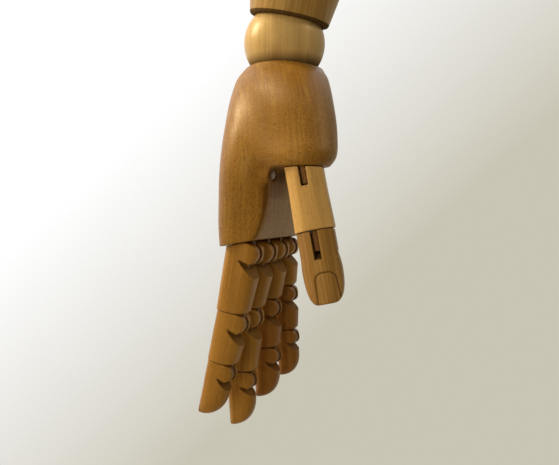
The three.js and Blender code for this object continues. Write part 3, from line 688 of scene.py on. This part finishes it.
# Beech, sawn and oiled: darker and duller than the lacquered pieces, with fine pores
tongue_wood = lacquered_wood("oiled_beech_tongue", "#754a21", 0, [
    (5, 5, 60, 0.38, 0.62, "#5b3614", 0.5),
    (0.6, 0.6, 9, 0.5, 0.7, "#4d2c0f", 0.4),
    (0.4, 0.4, 2.4, 0.58, 0.7, "#3c210a", 0.5),
], 0.42, "#9a6a35")


def block(name, low, high):
    """A square-cut solid between two corners, to cut with."""
    outline = [(low[0], low[2]), (high[0], low[2]), (high[0], high[2]), (low[0], high[2])]
    return skin(name, [[(x, y, z) for x, z in outline] for y in (low[1], high[1])])


def arc(radius, start, end, steps):
    """Points in X and Z on an arc about the pin."""
    return [(radius * math.cos(t), radius * math.sin(t)) for t in np.linspace(start, end, steps + 1)]


def hinge_at(seat, name, body, x, y, drop, back, lean, side_lean, eye_share):
    """Makes the tongue of a hinge under a seat, with a neck and a round eye for the pin, and returns
    where the piece below hangs."""
    hinge_place = (seat @ Matrix.Translation((x, y, -drop))
                   @ Matrix.Rotation(math.radians(side_lean), 4, "X"))
    neck = drop * NECK_SHARE
    eye_radius = drop * eye_share
    top = drop + TONGUE_SEAT
    turn = math.radians(lean)
    inset = back + TONGUE_RECESS
    low_x = inset * math.cos(turn) - eye_radius * math.sin(turn)
    low_z = -eye_radius * math.cos(turn) - inset * math.sin(turn)
    tongue_back = low_x + (drop - low_z) * math.tan(turn)
    outline = [(neck, top), (tongue_back, top), (tongue_back, drop), (low_x, low_z)]
    eye_end = 2 * math.pi + math.acos(neck / eye_radius)
    outline += arc(eye_radius, 1.5 * math.pi - turn, eye_end, HINGE_STEPS)
    tongue = plate(f"sawn_{name}_tongue", outline, TONGUE_THICKNESS)
    carve(tongue, cross_bar("pin_bore", PIN_BORE, 2 * TONGUE_THICKNESS, PIN_BORE_STEPS))
    soften(tongue, *TONGUE_SANDING)
    stand_for(tongue, hinge_place, body, [f"{name}_tongue"], tongue_wood)
    mortise = block("mortise", (tongue_back - FIT_GAP, -SLOT_HALF, 0),
                    (neck + FIT_GAP, SLOT_HALF, top + FIT_GAP))
    return {
        "child": hinge_place @ Matrix.Rotation(turn, 4, "Y"),
        "place": hinge_place, "seat": seat, "mortise": mortise,
        "neck": neck, "eye_radius": eye_radius, "lean": turn,
    }


def cheek_outline(lobe, up, arc_end, tip):
    """What is cut from the front of a head: the round of the cheeks and the notch under them."""
    out = CUT_REACH * lobe
    corners = [tip, (tip[0] + out, tip[1] - out * math.tan(NOTCH_ANGLE)), (tip[0] + out, out),
               (out * math.cos(up), out * math.sin(up))]
    return corners + arc(lobe, up, arc_end, HINGE_STEPS)


def cut_hinge(piece, hinge, lobe, half, slot_reach, bend):
    """Cuts the head of a piece for its hinge: end, round cheeks with notch, slot and pin bore."""
    above = block("above", (-FAR, -FAR, -FIT_GAP), (FAR, FAR, FAR))
    above.data.transform(in_metres(hinge["child"].inverted() @ hinge["seat"]))
    carve(piece, above)

    # The notch is scooped: it reaches further back at the sides than beside the slot
    up = math.pi / 2 + hinge["lean"]
    side_tip = (NOTCH_SIDE_TIP[0] * lobe, NOTCH_SIDE_TIP[1] * lobe)
    inner_x = NOTCH_INNER_TIP_X * lobe
    inner_tip = (inner_x, side_tip[1] - (inner_x - side_tip[0]) * math.tan(NOTCH_ANGLE))
    side = cheek_outline(lobe, up, NOTCH_SIDE_ARC_END, side_tip)
    inner = cheek_outline(lobe, up, math.atan2(inner_tip[1], inner_tip[0]), inner_tip)
    side_depth = half + FIT_GAP
    rings = []
    for y, outline in ((-side_depth, side), (-SLOT_HALF, inner), (SLOT_HALF, inner), (side_depth, side)):
        rings.append([(x, y, z) for x, z in outline])
    carve(piece, skin("cheek_round", rings))

    # The slot goes deeper at the back, with a small ridge in the middle of its end, and its floor rises
    # at the front as far as the bend allows
    swing = hinge["eye_radius"] + FIT_GAP
    reach = math.radians(bend) - hinge["lean"]
    rise = arc(swing, -math.pi / 2, -reach, SWING_STEPS)
    rise.append((rise[-1][0] + FAR * math.sin(reach), rise[-1][1] + FAR * math.cos(reach)))
    rings = []
    deepest = -hinge["neck"] - FIT_GAP - slot_reach
    ridge = min(SLOT_RIDGE, (-swing - deepest) / 2)
    for y, floor in ((-SLOT_HALF, deepest), (0, deepest + ridge), (SLOT_HALF, deepest)):
        outline = [(-FAR, FAR), (-FAR, floor), (-SLOT_DEEP_TO * swing, floor),
                   (-SLOT_RISE_FROM * swing, -swing)]
        outline += rise + [(2 * FAR, FAR)]
        rings.append([(x, y, z) for x, z in outline])
    carve(piece, skin("slot", rings))
    carve(piece, cross_bar("pin_bore", PIN_BORE, PIN_BORE_LENGTH, PIN_BORE_STEPS))


def digit_rings(piece, lobe, length, drop, flat):
    """Rings of a piece about its pin: a straight back, a tapered front, and a rounded tip at the end."""
    front = lobe + FIT_GAP
    back = front - piece["head"][0]
    low = drop - length
    depth, width = piece["tail"]
    head_half = piece["head"][1] / 2
    tail_half = width / 2
    rings = []
    for height in (2 * drop, -drop):
        rings.append(oval(height, back, front, -head_half, head_half, HEAD_SQUARENESS,
                          DIGIT_STEPS, flat))
    if piece["part"] != "distal":
        for height, bevel in ((low + TAIL_BEVEL, 0), (low, TAIL_BEVEL)):
            rings.append(oval(height, back, back + depth - bevel, -tail_half, tail_half, TAIL_SQUARENESS,
                              DIGIT_STEPS, flat))
        return rings, back, low
    tip_length = TIP_LENGTH_SHARE * depth
    edge_depth = TIP_EDGE_SHARE * depth
    for turn in np.linspace(0, math.pi / 2, TIP_LEVELS):
        share = math.sin(turn)
        round_front = max(0, 1 - share ** TIP_FRONT_POWER) ** (1 / TIP_FRONT_POWER)
        round_side = max(0, 1 - share ** TIP_SIDE_POWER) ** (1 / TIP_SIDE_POWER)
        half = tail_half * (TIP_LEAST_WIDTH + (1 - TIP_LEAST_WIDTH) * round_side)
        rings.append(oval(low + tip_length * (1 - share), back,
                          back + edge_depth + (depth - edge_depth) * round_front,
                          -half, half, TAIL_SQUARENESS, DIGIT_STEPS, flat))
    return rings, back, low


def scribe_nail(piece, low, width, length, shift):
    """Scribes the outline of a nail into the back of a tip with a fine groove, painted dark as shade."""
    mesh = piece.data
    normals = [v.normal.copy() for v in mesh.vertices]
    corner = NAIL_CORNER * width
    for vertex, normal, mark in zip(mesh.vertices, normals, mesh.attributes["painted_shade"].data):
        if normal.x > NAIL_SIDE_TILT:
            continue
        y = vertex.co.y / MM - shift
        z = vertex.co.z / MM - low
        half = width / 2 * (NAIL_TIP_SPREAD - NAIL_TAPER * z / length)
        over_side = abs(y) - half + corner
        over_top = z - length + corner
        outside = math.hypot(max(over_side, 0), max(over_top, 0))
        inside = min(max(over_side, over_top), 0)
        groove = math.exp(-((outside + inside - corner) / NAIL_LINE) ** 2)
        # Painted shade in the groove
        mark.value = max(mark.value, NAIL_SHADE * groove)
        vertex.co -= normal * NAIL_DEPTH * MM * groove


def add_digit(seat, name, pieces, lengths, leans, first, woods, girth=1, eye_share=NECK_SHARE,
              side_lean=0, side_room=0, flat=NO_FLAT, nail_shift=0):
    """Makes a digit as a chain of hinged pieces, each of its own wood, and returns the cut for its first
    tongue. The first pin lies at X and Y under the seat."""
    body = "palm"
    above = None
    first_mortise = None
    place = seat
    x, y = first
    for i, plain in enumerate(pieces):
        part = plain["part"]
        piece = {
            "part": part,
            "head": [girth * size for size in plain["head"]],
            "tail": [girth * size for size in plain["tail"]],
        }
        drop = girth * plain["drop"]
        lobe = drop - FIT_GAP - (side_room if i == 0 else 0)
        rings, back, low = digit_rings(piece, lobe, lengths[i], drop, flat)
        if above:
            x, y = above["back"] + DORSAL_STEP - back, 0
        tilt = 0 if above else side_lean
        hinge = hinge_at(place, f"{name}_{part}", body, x, y, drop, back, leans[i], tilt, eye_share)
        if above:
            hinge["mortise"].data.transform(in_metres(above["child"].inverted() @ hinge["place"]))
            finish_digit(above, hinge["mortise"], woods[i - 1])
        else:
            first_mortise = hinge["mortise"]
            first_mortise.data.transform(in_metres(hinge["place"]))
        wood = skin(f"shaped_{name}_{part}", rings)
        cut_hinge(wood, hinge, lobe, piece["head"][1] / 2, plain["slot_reach"], plain["bend"])
        body = f"{name}_{part}"
        above = {"wood": wood, "back": back, "low": low, "child": hinge["child"], "body": body,
                 "slot_floor": -hinge["neck"] - FIT_GAP - plain["slot_reach"],
                 "notch_low": -NOTCH_SHADE_DROP * lobe}
        place = hinge["child"] @ Matrix.Translation((0, 0, low))
    nail = (NAIL_WIDTH * piece["tail"][1], NAIL_LENGTH * piece["tail"][1], nail_shift)
    finish_digit(above, None, woods[-1], nail)
    return first_mortise


def finish_digit(made, mortise, material, nail=None):
    """Cuts the mortise for the next tongue or scribes the nail, and puts the piece in place. The walls
    of its slot and the upward faces of its notch are painted darker, as painted shade."""
    wood = made["wood"]
    if mortise:
        carve(wood, mortise)
    soften(wood, *DIGIT_SANDING)
    painted_shade = wood.data.attributes.new("painted_shade", "FLOAT", "POINT")
    for vertex, mark in zip(wood.data.vertices, painted_shade.data):
        height = vertex.co.z / MM
        # Painted shade in the slot and on the notch
        if abs(vertex.co.y) < (SLOT_HALF + SLOT_SHADE_REACH) * MM and height > made["slot_floor"]:
            mark.value = SLOT_SHADE
        elif vertex.normal.z > NOTCH_SHADE_TILT and made["notch_low"] < height < 0:
            mark.value = NOTCH_SHADE
    if nail:
        scribe_nail(wood, made["low"], *nail)
    stand_for(wood, made["child"], made["body"], [made["body"]], material)


# Fingers
# Four fingers of brown hardwood, each of three planed and sanded pieces, every piece a little thinner
# than the one above. The tips are chisel-shaped with a straight back. The lower pieces of the ring and
# little fingers are painted darker and redder, as painted shade where they lie behind the nearer ones.
KNUCKLE_DROP = 105
KNUCKLE_BACK = -12.2
KNUCKLE_RISE_TO_PALM = math.radians(9.3)
KNUCKLE_RISE_TO_LITTLE = math.radians(2.2)
FINGER_PIN_OFFSET = 3.2
FINGERS = [
    {"name": "index", "across": -27.5, "girth": 1,
     "leans": [20.6, 2.5, 0], "lengths": [37.2, 27.3, 29.2]},
    {"name": "middle", "across": -8.8, "girth": 1.03,
     "leans": [21, -7, -8], "lengths": [36.3, 34.4, 29]},
    {"name": "ring", "across": 9.3, "girth": 0.98,
     "leans": [16, -8.5, -1], "lengths": [32.8, 27, 27.5]},
    {"name": "little", "across": 26, "girth": 0.87,
     "leans": [8.5, -3, -3], "lengths": [27, 25, 25.5]},
]
FINGER_PIECES = [
    {"part": "proximal", "head": [18.8, 16.4], "tail": [17.2, 15.6],
     "drop": 6.2, "slot_reach": 2.5, "bend": 80},
    {"part": "middle", "head": [17.4, 14.6], "tail": [15.8, 13.8],
     "drop": 5.7, "slot_reach": 2.5, "bend": 85},
    {"part": "distal", "head": [15.6, 13], "tail": [14.2, 12.4],
     "drop": 5.1, "slot_reach": 2, "bend": 60},
]
FINGER_EYE = 0.84
SHADED_FINGERS = ("ring", "little")

# Brown hardwood, planed and lacquered: narrow bands and streaks, with fine dark pores
finger_wood = lacquered_wood("lacquered_brown_hardwood", "#ad792e", 15, [
    (7, 30, 180, 0.36, 0.64, "#85581b", 0.5),
    (1.5, 14, 70, 0.46, 0.7, "#bd8b40", 0.4),
    (0.7, 7, 32, 0.52, 0.72, "#774a15", 0.4),
    (0.42, 0.5, 2.4, 0.57, 0.68, "#55330c", 0.4),
], 0.34, "#c49a58")

# The same wood with its figure in darker, redder tones: painted shade for the far fingers
shaded_finger_wood = lacquered_wood("lacquered_brown_hardwood_painted_shade", "#996325", 15, [
    (7, 30, 180, 0.36, 0.64, "#754915", 0.5),
    (1.5, 14, 70, 0.46, 0.7, "#a87232", 0.4),
    (0.7, 7, 32, 0.52, 0.72, "#683e12", 0.4),
    (0.42, 0.5, 2.4, 0.57, 0.68, "#452508", 0.4),
], 0.34, "#b3834a")

knuckles = hand_place @ Matrix.Translation((KNUCKLE_BACK, 0, -KNUCKLE_DROP))
knuckles = knuckles @ Matrix.Rotation(-KNUCKLE_RISE_TO_PALM, 4, "Y")
knuckles = knuckles @ Matrix.Rotation(KNUCKLE_RISE_TO_LITTLE, 4, "X")
palm_cuts = []
for finger in FINGERS:
    # The lower pieces of the ring and little fingers get the copy with painted shade
    lower_wood = shaded_finger_wood if finger["name"] in SHADED_FINGERS else finger_wood
    palm_cuts.append(add_digit(
        knuckles, finger["name"], FINGER_PIECES, finger["lengths"], finger["leans"],
        (FINGER_PIN_OFFSET, finger["across"]), [finger_wood, lower_wood, lower_wood],
        girth=finger["girth"], eye_share=FINGER_EYE))

# Thumb
# Two pieces of paler, yellower wood with planed flat corners. The tip is painted browner as painted
# shade.
# It is hinged under the shoulder, and the saw cuts of its slots run out at the back.
THUMB_PLACE = (29.4, -46, -SHOULDER_DROP)
THUMB_TURN = math.radians(101.5)
THUMB_PIECES = [
    {"part": "proximal", "head": [18, 18.2], "tail": [17.4, 19.4],
     "drop": 6, "slot_reach": 0.6, "bend": 45},
    {"part": "distal", "head": [16, 18.2], "tail": [16.4, 19.2],
     "drop": 6.4, "slot_reach": 4, "bend": 60},
]
THUMB_LENGTHS = [31.3, 34.9]
THUMB_BACK_LEANS = [3.4, 0]
THUMB_SIDE_LEAN = -10.9
THUMB_SIDE_ROOM = 1.9
THUMB_FLAT = 1.0
THUMB_NAIL_SHIFT = -1.7

# Yellow beech, planed and lacquered: pale wood with a weak figure. On the tip it is painted browner:
# painted shade.
thumb_figures = [
    (7, 30, 180, 0.36, 0.64, "#a97a36", 0.4),
    (1.5, 14, 70, 0.46, 0.7, "#dcae64", 0.35),
    (0.7, 7, 32, 0.52, 0.72, "#8c6029", 0.35),
    (0.42, 0.5, 2.4, 0.57, 0.68, "#744a1a", 0.4),
]
thumb_wood = lacquered_wood("lacquered_yellow_beech", "#e0af62", 80, thumb_figures, 0.32, "#dcb474")
# The tip: the thumb's figure on a browner ground, as painted shade
thumb_tip_shaded_wood = lacquered_wood(
    "lacquered_beech_tip_painted_shade", "#91662d", 80, thumb_figures, 0.32, "#cda466")

shoulder = hand_place @ Matrix.Translation(THUMB_PLACE) @ Matrix.Rotation(THUMB_TURN, 4, "Z")
thumb_pin_x = THUMB_PIECES[0]["head"][0] / 2 - (THUMB_PIECES[0]["drop"] - THUMB_SIDE_ROOM)
palm_cuts.append(add_digit(
    shoulder, "thumb", THUMB_PIECES, THUMB_LENGTHS, THUMB_BACK_LEANS,
    (thumb_pin_x, 0), [thumb_wood, thumb_tip_shaded_wood],
    side_lean=THUMB_SIDE_LEAN, side_room=THUMB_SIDE_ROOM, flat=THUMB_FLAT, nail_shift=THUMB_NAIL_SHIFT))

# Finishing the palm block
# Its mortises, bores, hollow and knuckle face are cut after the block is sanded round, so their
# edges stay crisp and are only just eased.
PALM_RIM_DIP = 1.8
INSERT_LOW = -36.3
STUD_BORE_LOW = -45
HOLLOW_STEPS = 80
RIM_STEPS = 24
EDGE_SANDING = (0.55, 3)
SCREW_HEAD = 2.6
SCREW_TURN = math.radians(-22)
SCREW_HOLE_RADIUS = 1.4
SCREW_HOLE_LOW = -8.3
SCREW_HOLE_STEPS = 24
SEAT_ROOM = 0.6
SEAT_RADIUS = SCREW_HEAD + SEAT_ROOM
SEAT_SINK = SEAT_RADIUS * math.sin(-SCREW_TURN)
SCREW_PLACE = (PALM_FACE - SEAT_SINK, -39.6, -72.4)
# Painted shadow in the corner under the shoulder, beside the thumb
CORNER_SHADE = 0.95
CORNER_MARGIN = 1
CORNER_REACH = 7
CORNER_FADE = 25
CORNER_TURN_FADE = 1.5
# Painted shade on the round edge between the near side and the face
EDGE_SHADE = 0.52
EDGE_TO_FACE = (0.4, 0.7)
EDGE_TO_SIDE = (0.25, 0.5)
for cut in palm_cuts:
    cut.data.transform(in_metres(hand_place.inverted()))
    carve(palm, cut)
socket_outline = ball_arc(SOCKET_RADIUS, -SOCKET_RADIUS, SOCKET_RADIUS, HOLLOW_STEPS)
carve(palm, turned("socket", socket_outline, TURNED_STEPS))
for radius, low in ((INSERT_BORE, INSERT_LOW), (BOLT_BORE, STUD_BORE_LOW)):
    carve(palm, turned("bore", [(0, low), (radius, low), (radius, 0), (0, 0)], BORE_STEPS))
rim_low = -PALM_RIM_DROP - PALM_RIM_DIP
rim_dip = curve((-rim_radius, rim_low), (0, PALM_RIM_DIP - PALM_RIM_DROP), (rim_radius, rim_low),
                RIM_STEPS)
above_rim = [(-FAR, 0), (-FAR, rim_low)] + rim_dip + [(FAR, rim_low), (FAR, 0)]
carve(palm, plate("above_rim", above_rim, 2 * FAR))
below = block("below_knuckles", (-2 * FAR, -2 * FAR, -FAR), (2 * FAR, 2 * FAR, 0))
below.data.transform(in_metres(hand_place.inverted() @ knuckles))
carve(palm, below)
screw_place = (Matrix.Translation(SCREW_PLACE) @ Matrix.Rotation(SCREW_TURN, 4, "Z")
               @ Matrix.Rotation(math.pi / 2, 4, "Y"))
hole_outline = [(0, SCREW_HOLE_LOW), (SCREW_HOLE_RADIUS, SCREW_HOLE_LOW), (SCREW_HOLE_RADIUS, 0),
                (SEAT_RADIUS, 0), (SEAT_RADIUS, 2 * SEAT_RADIUS), (0, 2 * SEAT_RADIUS)]
screw_hole = turned("screw_hole", hole_outline, SCREW_HOLE_STEPS)
screw_hole.data.transform(in_metres(screw_place))
carve(palm, screw_hole)
soften(palm, *EDGE_SANDING)

# The sawn corner beside the thumb, under the shoulder, is painted dark: a painted shadow. Below it, the
# round edge between the near side and the face is painted darker: painted shade.
palm_shade = palm.data.attributes.new("painted_shade", "FLOAT", "POINT")
for vertex, mark in zip(palm.data.vertices, palm_shade.data):
    out = vertex.co.x / MM - PALM_FACE
    down = -SHOULDER_DROP - vertex.co.z / MM
    if min(out, down) > -CORNER_MARGIN:
        inside = min(max(1 + CORNER_TURN_FADE * vertex.normal.y, 0), 1)
        along = min(max((WEB_END - vertex.co.y / MM) / CORNER_FADE, 0), 1)
        close = math.exp(-math.hypot(out, down) / CORNER_REACH)
        mark.value = CORNER_SHADE * inside * along * close
    # Painted shade on the round edge below the shoulder
    if down > 0:
        to_face = float(np.interp(vertex.normal.x, EDGE_TO_FACE, (0, 1)))
        to_side = float(np.interp(-vertex.normal.y, EDGE_TO_SIDE, (0, 1)))
        mark.value = max(mark.value, EDGE_SHADE * to_face * to_side)
stand_for(palm, hand_place, "palm", ["palm"], palm_wood)

# Web screw
# A small slotted steel screw, turned and zinc plated, gone dull. It is driven into the face of the
# palm beside the thumb, in a seat that is sunk for its head.
SCREW_LOW = -8
SCREW_POINT = 0.4
SHANK_RADIUS = 1.1
THREAD_ROOT = 0.85
THREAD_PITCH = 0.75
THREAD_FLANK = 0.35
THREAD_LOW = -6.9
THREAD_TURNS = 9
HEAD_EDGE = 0.8
HEAD_CROWN = 1.3
HEAD_TOP = 1.5
HEAD_EASE = 0.35
SCREW_SLOT_HALF = 0.35
SCREW_SLOT_REACH = 3
SCREW_STEPS = 40
screw_outline = [(0, SCREW_LOW), (SCREW_POINT, SCREW_LOW + SCREW_POINT)]
for turn in range(THREAD_TURNS):
    crest = THREAD_LOW + THREAD_PITCH * turn
    screw_outline += [(SHANK_RADIUS, crest), (THREAD_ROOT, crest + THREAD_FLANK)]
screw_outline += rounded([
    (SHANK_RADIUS, 0), (SHANK_RADIUS, FIT_GAP), (SCREW_HEAD, FIT_GAP), (SCREW_HEAD, HEAD_EDGE),
    (HEAD_CROWN, HEAD_TOP), (0, HEAD_TOP)], HEAD_EASE)[1:]
screw = turned("slotted_web_screw", screw_outline, SCREW_STEPS)
carve(screw, block("screw_slot", (-SCREW_SLOT_REACH, -SCREW_SLOT_HALF, HEAD_EDGE),
                   (SCREW_SLOT_REACH, SCREW_SLOT_HALF, SCREW_SLOT_REACH)))

# Zinc plating gone dull: dark grey with a weak shine
screw.data.materials.append(worked_metal("dull_zinc_plated_steel", "#4f4a43", "#2c2824", 0.5))
screw.data.shade_smooth()
screw.matrix_world = in_metres(hand_place @ screw_place)
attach(screw, "palm")
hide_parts("web_screw")

# Floor, light and background
# A pale painted floor below the hand, and a white wall with painted shade that falls off to a warm grey
# at the lower right. Light comes from a window high on the left and a little behind, from the ceiling,
# from the room in front on the left, and from a doorway on the right.
FLOOR_HEIGHT = -445
FLOOR_THICKNESS = 4
FLOOR_REACH = 300
FLOOR_STEPS = 96
FLOOR_COLOUR = "#dedcd2"
FLOOR_ROUGHNESS = 0.8
LAMP_AIM = Vector((0, 0, -60))
WALL_WHITE = "#ffffff"
WALL_SHADE = "#c9c5b5"
WALL_FALL_RIGHT = 0.97
WALL_FALL_DOWN = 1.02
WALL_FALL_FROM = -0.26
WALL_FALL_TO = 0.16
ROOM_LIGHT = "#f4f1ea"
ROOM_LIGHT_STRENGTH = 0.17

floor_rings = []
for level in (FLOOR_HEIGHT - FLOOR_THICKNESS, FLOOR_HEIGHT):
    floor_rings.append(oval(level, -FLOOR_REACH, FLOOR_REACH, -FLOOR_REACH, FLOOR_REACH, ELLIPSE,
                            FLOOR_STEPS))
floor = skin("floor", floor_rings)

# Matt floor paint, rolled on: an even off-white with hardly any gloss
floor_paint = bpy.data.materials.new("matt_white_floor_paint")
floor_paint.use_nodes = True
floor_tree = floor_paint.node_tree
floor_tree.nodes.clear()
floor_shade = add_node(floor_tree, "ShaderNodeBsdfPrincipled", {
    "Base Color": linear(FLOOR_COLOUR), "Roughness": FLOOR_ROUGHNESS})
add_node(floor_tree, "ShaderNodeOutputMaterial", {"Surface": floor_shade.outputs[0]})
floor.data.materials.append(floor_paint)


def add_lamp(name, toward, distance, size, power, colour):
    """A square lamp that shines at the palm from a direction in the picture: right, up, to camera."""
    way = view_right * toward[0] + view_up * toward[1] - view_into * toward[2]
    spot = LAMP_AIM + way.normalized() * distance
    lamp = bpy.data.objects.new(name, bpy.data.lights.new(name, "AREA"))
    lamp.data.energy = power
    lamp.data.size = size * MM
    lamp.data.color = linear(colour)[:3]
    turn = (spot - LAMP_AIM).to_track_quat("Z", "Y").to_matrix().to_4x4()
    lamp.matrix_world = in_metres(hand_place @ Matrix.Translation(spot) @ turn)
    bpy.context.scene.collection.objects.link(lamp)


add_lamp("window", (-0.8, 0.55, -0.1), 700, 260, 4.2, "#fff4e0")
add_lamp("ceiling", (-0.37, 0.92, -0.05), 800, 160, 2.2, "#fff0d4")
add_lamp("room", (-0.5, 0.15, 0.85), 900, 500, 3, "#fff0d8")
add_lamp("doorway", (0.75, 0.65, 0.1), 800, 300, 0.9, "#fff3e2")

world = bpy.data.worlds.new("pale_wall")
bpy.context.scene.world = world
world.use_nodes = True
sky = world.node_tree
sky.nodes.clear()
ray = add_node(sky, "ShaderNodeLightPath").outputs
seen = ray["Is Camera Ray"]
for kind in ("Is Glossy Ray", "Is Transmission Ray"):
    seen = add_node(sky, "ShaderNodeMath", {0: seen, 1: ray[kind]}, operation="MAXIMUM").outputs[0]
way = add_node(sky, "ShaderNodeTexCoord").outputs["Generated"]
picture_right = (hand_place.to_3x3() @ view_right).normalized()
picture_up = (hand_place.to_3x3() @ view_up).normalized()
# Painted shade on the wall: it darkens towards the lower right
fall_off = picture_right * WALL_FALL_RIGHT - picture_up * WALL_FALL_DOWN
slope = add_node(sky, "ShaderNodeVectorMath", {0: way, 1: fall_off}, operation="DOT_PRODUCT")
shade = add_node(sky, "ShaderNodeMapRange", {
    0: slope.outputs["Value"], 1: WALL_FALL_FROM, 2: WALL_FALL_TO, 3: 0, 4: 1}).outputs[0]
wall = add_node(sky, "ShaderNodeMix", {
    0: shade, 6: linear(WALL_WHITE), 7: linear(WALL_SHADE)}, data_type="RGBA").outputs[2]
shown = add_node(sky, "ShaderNodeBackground", {"Color": wall, "Strength": 1})
soft = add_node(sky, "ShaderNodeBackground", {
    "Color": linear(ROOM_LIGHT), "Strength": ROOM_LIGHT_STRENGTH})
both = add_node(sky, "ShaderNodeMixShader", {0: seen, 1: soft.outputs[0], 2: shown.outputs[0]})
add_node(sky, "ShaderNodeOutputWorld", {"Surface": both.outputs[0]})
